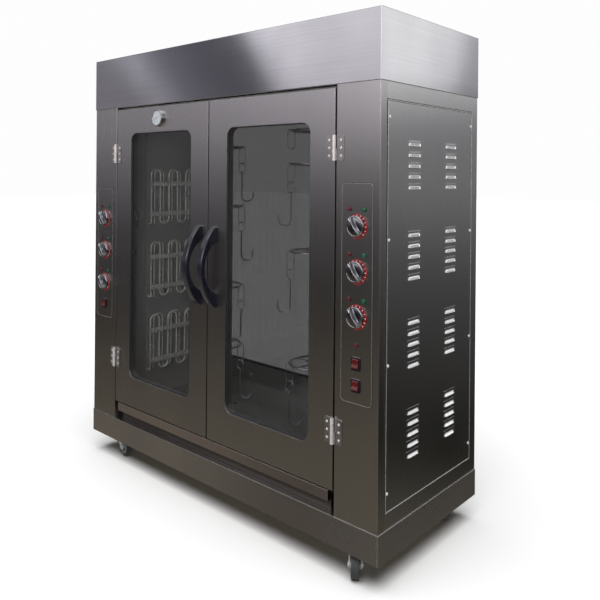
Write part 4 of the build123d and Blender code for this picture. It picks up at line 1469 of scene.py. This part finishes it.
@dataclass
class LouvrePanels:
    """Louvred side panels: sheet, rolled edge, hoods with painted highlight and shade over slots of
    painted shade, and the joint round it.

    Attributes:
        back: Depth of a panel's back from the middle.
        face: Depth of its face.
        depths: Front and rear edge of a panel.
        heights: Lower and upper edge of a panel.
        rim: Width of the rolled edge.
        joint: Width of the joint.
        columns: Places of the hood columns.
        groups: Heights of the middles of the groups of hoods.
        count: Hoods in a group.
        pitch: Distance between hoods.
        width: Width of a hood.
        tall: Height of a hood.
        drop: How far a hood's mouth lies under its middle.
        proud: How far a hood stands out.
        end: Part of a hood's half width that slopes down to the sheet.
        curl: Power of the hood's hollow slope.
        lit: Part of a hood's height, from its mouth up, that gets the painted highlight; above it the
            hood gets painted shade.
        gauge: Thickness of a hood's sheet.
        slot: Length of a slot, as a part of the hood's.
    """

    back: float = 0.7275
    face: float = 0.7290
    depths: tuple[float, float] = (-0.218, 0.277)
    heights: tuple[float, float] = (0.216, 1.374)
    rim: float = 0.0026
    joint: float = 0.0024
    columns: tuple[float, float] = (-0.078, 0.137)
    groups: tuple[float, float, float, float] = (0.410, 0.672, 0.928, 1.193)
    count: int = 5
    pitch: float = 0.0315
    width: float = 0.068
    tall: float = 0.017
    drop: float = 0.0095
    proud: float = 0.0065
    end: float = 0.28
    curl: float = 1.8
    lit: float = 0.6
    gauge: float = 0.0009
    slot: float = 0.76

    def make_ring(self, name: str, side: int, grow: float, width: float, start: float,
                  stop: float) -> Piece:
        """Model a rectangular ring on a side of the cabinet.

        Args:
            name: Name of the ring.
            side: -1 for the left side, 1 for the right.
            grow: How far the ring's outer edge lies outside the panel's.
            width: Width of the ring.
            start: Its inner depth from the middle.
            stop: Its outer depth from the middle.

        Returns:
            The ring.
        """
        ring = brick(name, (side * start, self.depths[0] - grow, self.heights[0] - grow),
                     (side * stop, self.depths[1] + grow, self.heights[1] + grow))
        return hollowed(ring, 0, width)

    def make_hood(self, side: int) -> Piece:
        """Model one hood, its middle on y 0 and z 0, with a dark sheet behind it that paints the shade
        in its slot.

        Args:
            side: -1 for the left side, 1 for the right.

        Returns:
            The hood.
        """
        bpy.ops.object.select_all(action="DESELECT")
        bpy.ops.mesh.primitive_grid_add(x_subdivisions=16, y_subdivisions=9, size=1.0)
        hood = bpy.context.object
        with editing(hood):
            mesh = bmesh.from_edit_mesh(hood.data)
            for vertex in mesh.verts:
                along, up = 2 * vertex.co.x, vertex.co.y + 0.5
                lift = self.proud * (1 - up) ** self.curl * min(1.0, (1 - abs(along)) / self.end)
                vertex.co = (side * (self.face - 0.0004 + lift), side * along * self.width / 2,
                             up * self.tall - self.drop)
            bmesh.update_edit_mesh(hood.data)
        thick = hood.modifiers.new("thick", "SOLIDIFY")
        thick.thickness = self.gauge
        thick.offset = -1.0
        bpy.ops.object.modifier_apply(modifier=thick.name)
        bpy.ops.object.shade_smooth_by_angle(angle=math.radians(32.0))
        # The slot is a thin dark sheet on the panel, painted shade for the shadow inside the hood's
        # mouth.
        half = self.width * self.slot / 2
        slot = brick("louvre_slot", (side * (self.face - 0.0005), -half, -self.drop + 0.0002),
                     (side * (self.face + 0.0002), half, self.tall * 0.5 - self.drop))
        rounded(slot, 0.0001, 1)
        # Painted highlight on each hood's lower part and painted shade on its upper part; the slot sheet
        # wears the painted joint shadow.
        for piece in (hood, slot):
            dress(piece, LOUVRE_HIGHLIGHT, LOUVRE_SHADE, JOINT_SHADOW)
            for polygon in piece.data.polygons:
                upper = polygon.center.z > self.tall * self.lit - self.drop
                polygon.material_index = 2 if piece is slot else int(upper)
        return join("louvre_blank", (hood, slot))

    def make_panel(self, word: str, side: int) -> Piece:
        """Model a panel with its edge and hoods.

        Args:
            word: left or right.
            side: -1 for the left side, 1 for the right.

        Returns:
            The panel.
        """
        sheet = brick("panel_sheet", (side * self.back, self.depths[0], self.heights[0]),
                      (side * self.face, self.depths[1], self.heights[1]))
        rounded(sheet, 0.0003, 2)
        rim = rounded(self.make_ring("panel_rim", side, 0.0, self.rim, self.face - 0.0004,
                                     self.face + 0.0010), 0.0006, 2)
        pieces = [dress(sheet, SIDE_STEEL, RIM_STEEL), dress(rim, SIDE_STEEL, RIM_STEEL, worn=1)]
        blank = self.make_hood(side)
        for y in self.columns:
            for middle in self.groups:
                for step in range(self.count):
                    z = middle + (step - self.count // 2) * self.pitch
                    pieces.append(copied(blank, "louvre", (0.0, y, z)))
        bpy.data.objects.remove(blank)
        return join(f"{word}_louvre_panel", pieces)

    def build(self) -> None:
        """Build both panels and their joints."""
        for word, side in SIDES:
            panel = self.make_panel(word, side)
            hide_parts("louvre_panels")
            joint = self.make_ring(f"{word}_panel_joint", side, self.joint, self.joint - 0.0001,
                                   self.face - 0.0019, self.face - 0.0012)
            dress(rounded(joint, 0.0002, 1), JOINT_SHADOW)
            for piece in (panel, joint):
                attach(piece, "cabinet")
        logger.info("louvre panels")


@dataclass
class CasterWheels:
    """Four wheels with soft tyres and grey hubs.

    Attributes:
        places: Swivel axis and turn of each caster.
        trail: Distance of the axle from the swivel axis.
        radius: Radius of a tyre.
        width: Width of a tyre.
        hub: Width over the hub.
        boss: Radius of the boss, and how much smaller than the tyre the disc is.
        recess: How much narrower than the tyre the disc is.
        tyre_steps: Width and lift of the steps in the tyre's faces.
        disc_steps: The same in the disc's faces.
    """

    places: dict[str, tuple[float, float, float]] = field(default_factory=lambda: {
        "front_left": (-0.6075, -0.188, -12.0), "front_right": (0.6075, -0.188, -55.0),
        "rear_left": (-0.6075, 0.258, 10.0), "rear_right": (0.6075, 0.258, -20.0)})
    trail: float = 0.038
    radius: float = 0.0375
    width: float = 0.025
    hub: float = 0.031
    boss: float = 0.0105
    recess: float = 0.0030
    tyre_steps: Steps = ((0.0060, 0.0), (0.0035, -0.0022))
    disc_steps: Steps = ((0.0022, 0.0), (0.0020, -0.0030), (0.0080, 0.0))

    def make_wheel(self) -> Piece:
        """Model one wheel about an axle along Y through the origin.

        Returns:
            The wheel.
        """
        tyre = drum("tyre", ORIGIN, self.radius, self.width, around=64)
        disc = drum("wheel_disc", ORIGIN, self.radius - self.boss, self.width - self.recess)
        boss = drum("wheel_boss", ORIGIN, self.boss, self.hub, around=36)
        for end in (-0.5, 0.5):
            dish(tyre, end * self.width, self.tyre_steps)
            dish(disc, end * (self.width - self.recess), self.disc_steps)
        rounded(tyre, 0.0028, 4)
        rounded(disc, 0.0008, 2)
        rounded(boss, 0.0012)
        for piece, worn in ((tyre, 0), (disc, 1), (boss, 1)):
            dress(piece, TYRE_RUBBER, HUB_GREY, worn=worn)
        return join("wheel_blank", (tyre, disc, boss))

    def build(self) -> None:
        """Copy the wheel to the four forks."""
        blank = self.make_wheel()
        for corner, (x, y, turn) in self.places.items():
            wheel = copied(blank, f"{corner}_tyre", (self.trail, 0.0, self.radius))
            turned_about(wheel, ORIGIN, HEIGHT_AXIS, turn)
            wheel.location = (x, y, 0.0)
            settle(wheel)
            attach(wheel, f"{corner}_wheel")
            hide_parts(f"{corner}_wheel")
        bpy.data.objects.remove(blank)
        logger.info("caster wheels")


def main() -> None:
    """Build the looks of the rotisserie."""
    logging.basicConfig(level=logging.INFO, format="%(message)s")
    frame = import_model()
    Studio().build()
    logger.info("studio")
    Sheetwork().build(frame["nodes"])
    logger.info("sheetwork")
    ControlPosts().build()
    DoorGauge().build()
    DoorHinges().build()
    WindowSeals().build()
    PlateRims().build()
    LouvrePanels().build()
    CasterWheels().build()


if __name__ == "__main__":
    main()
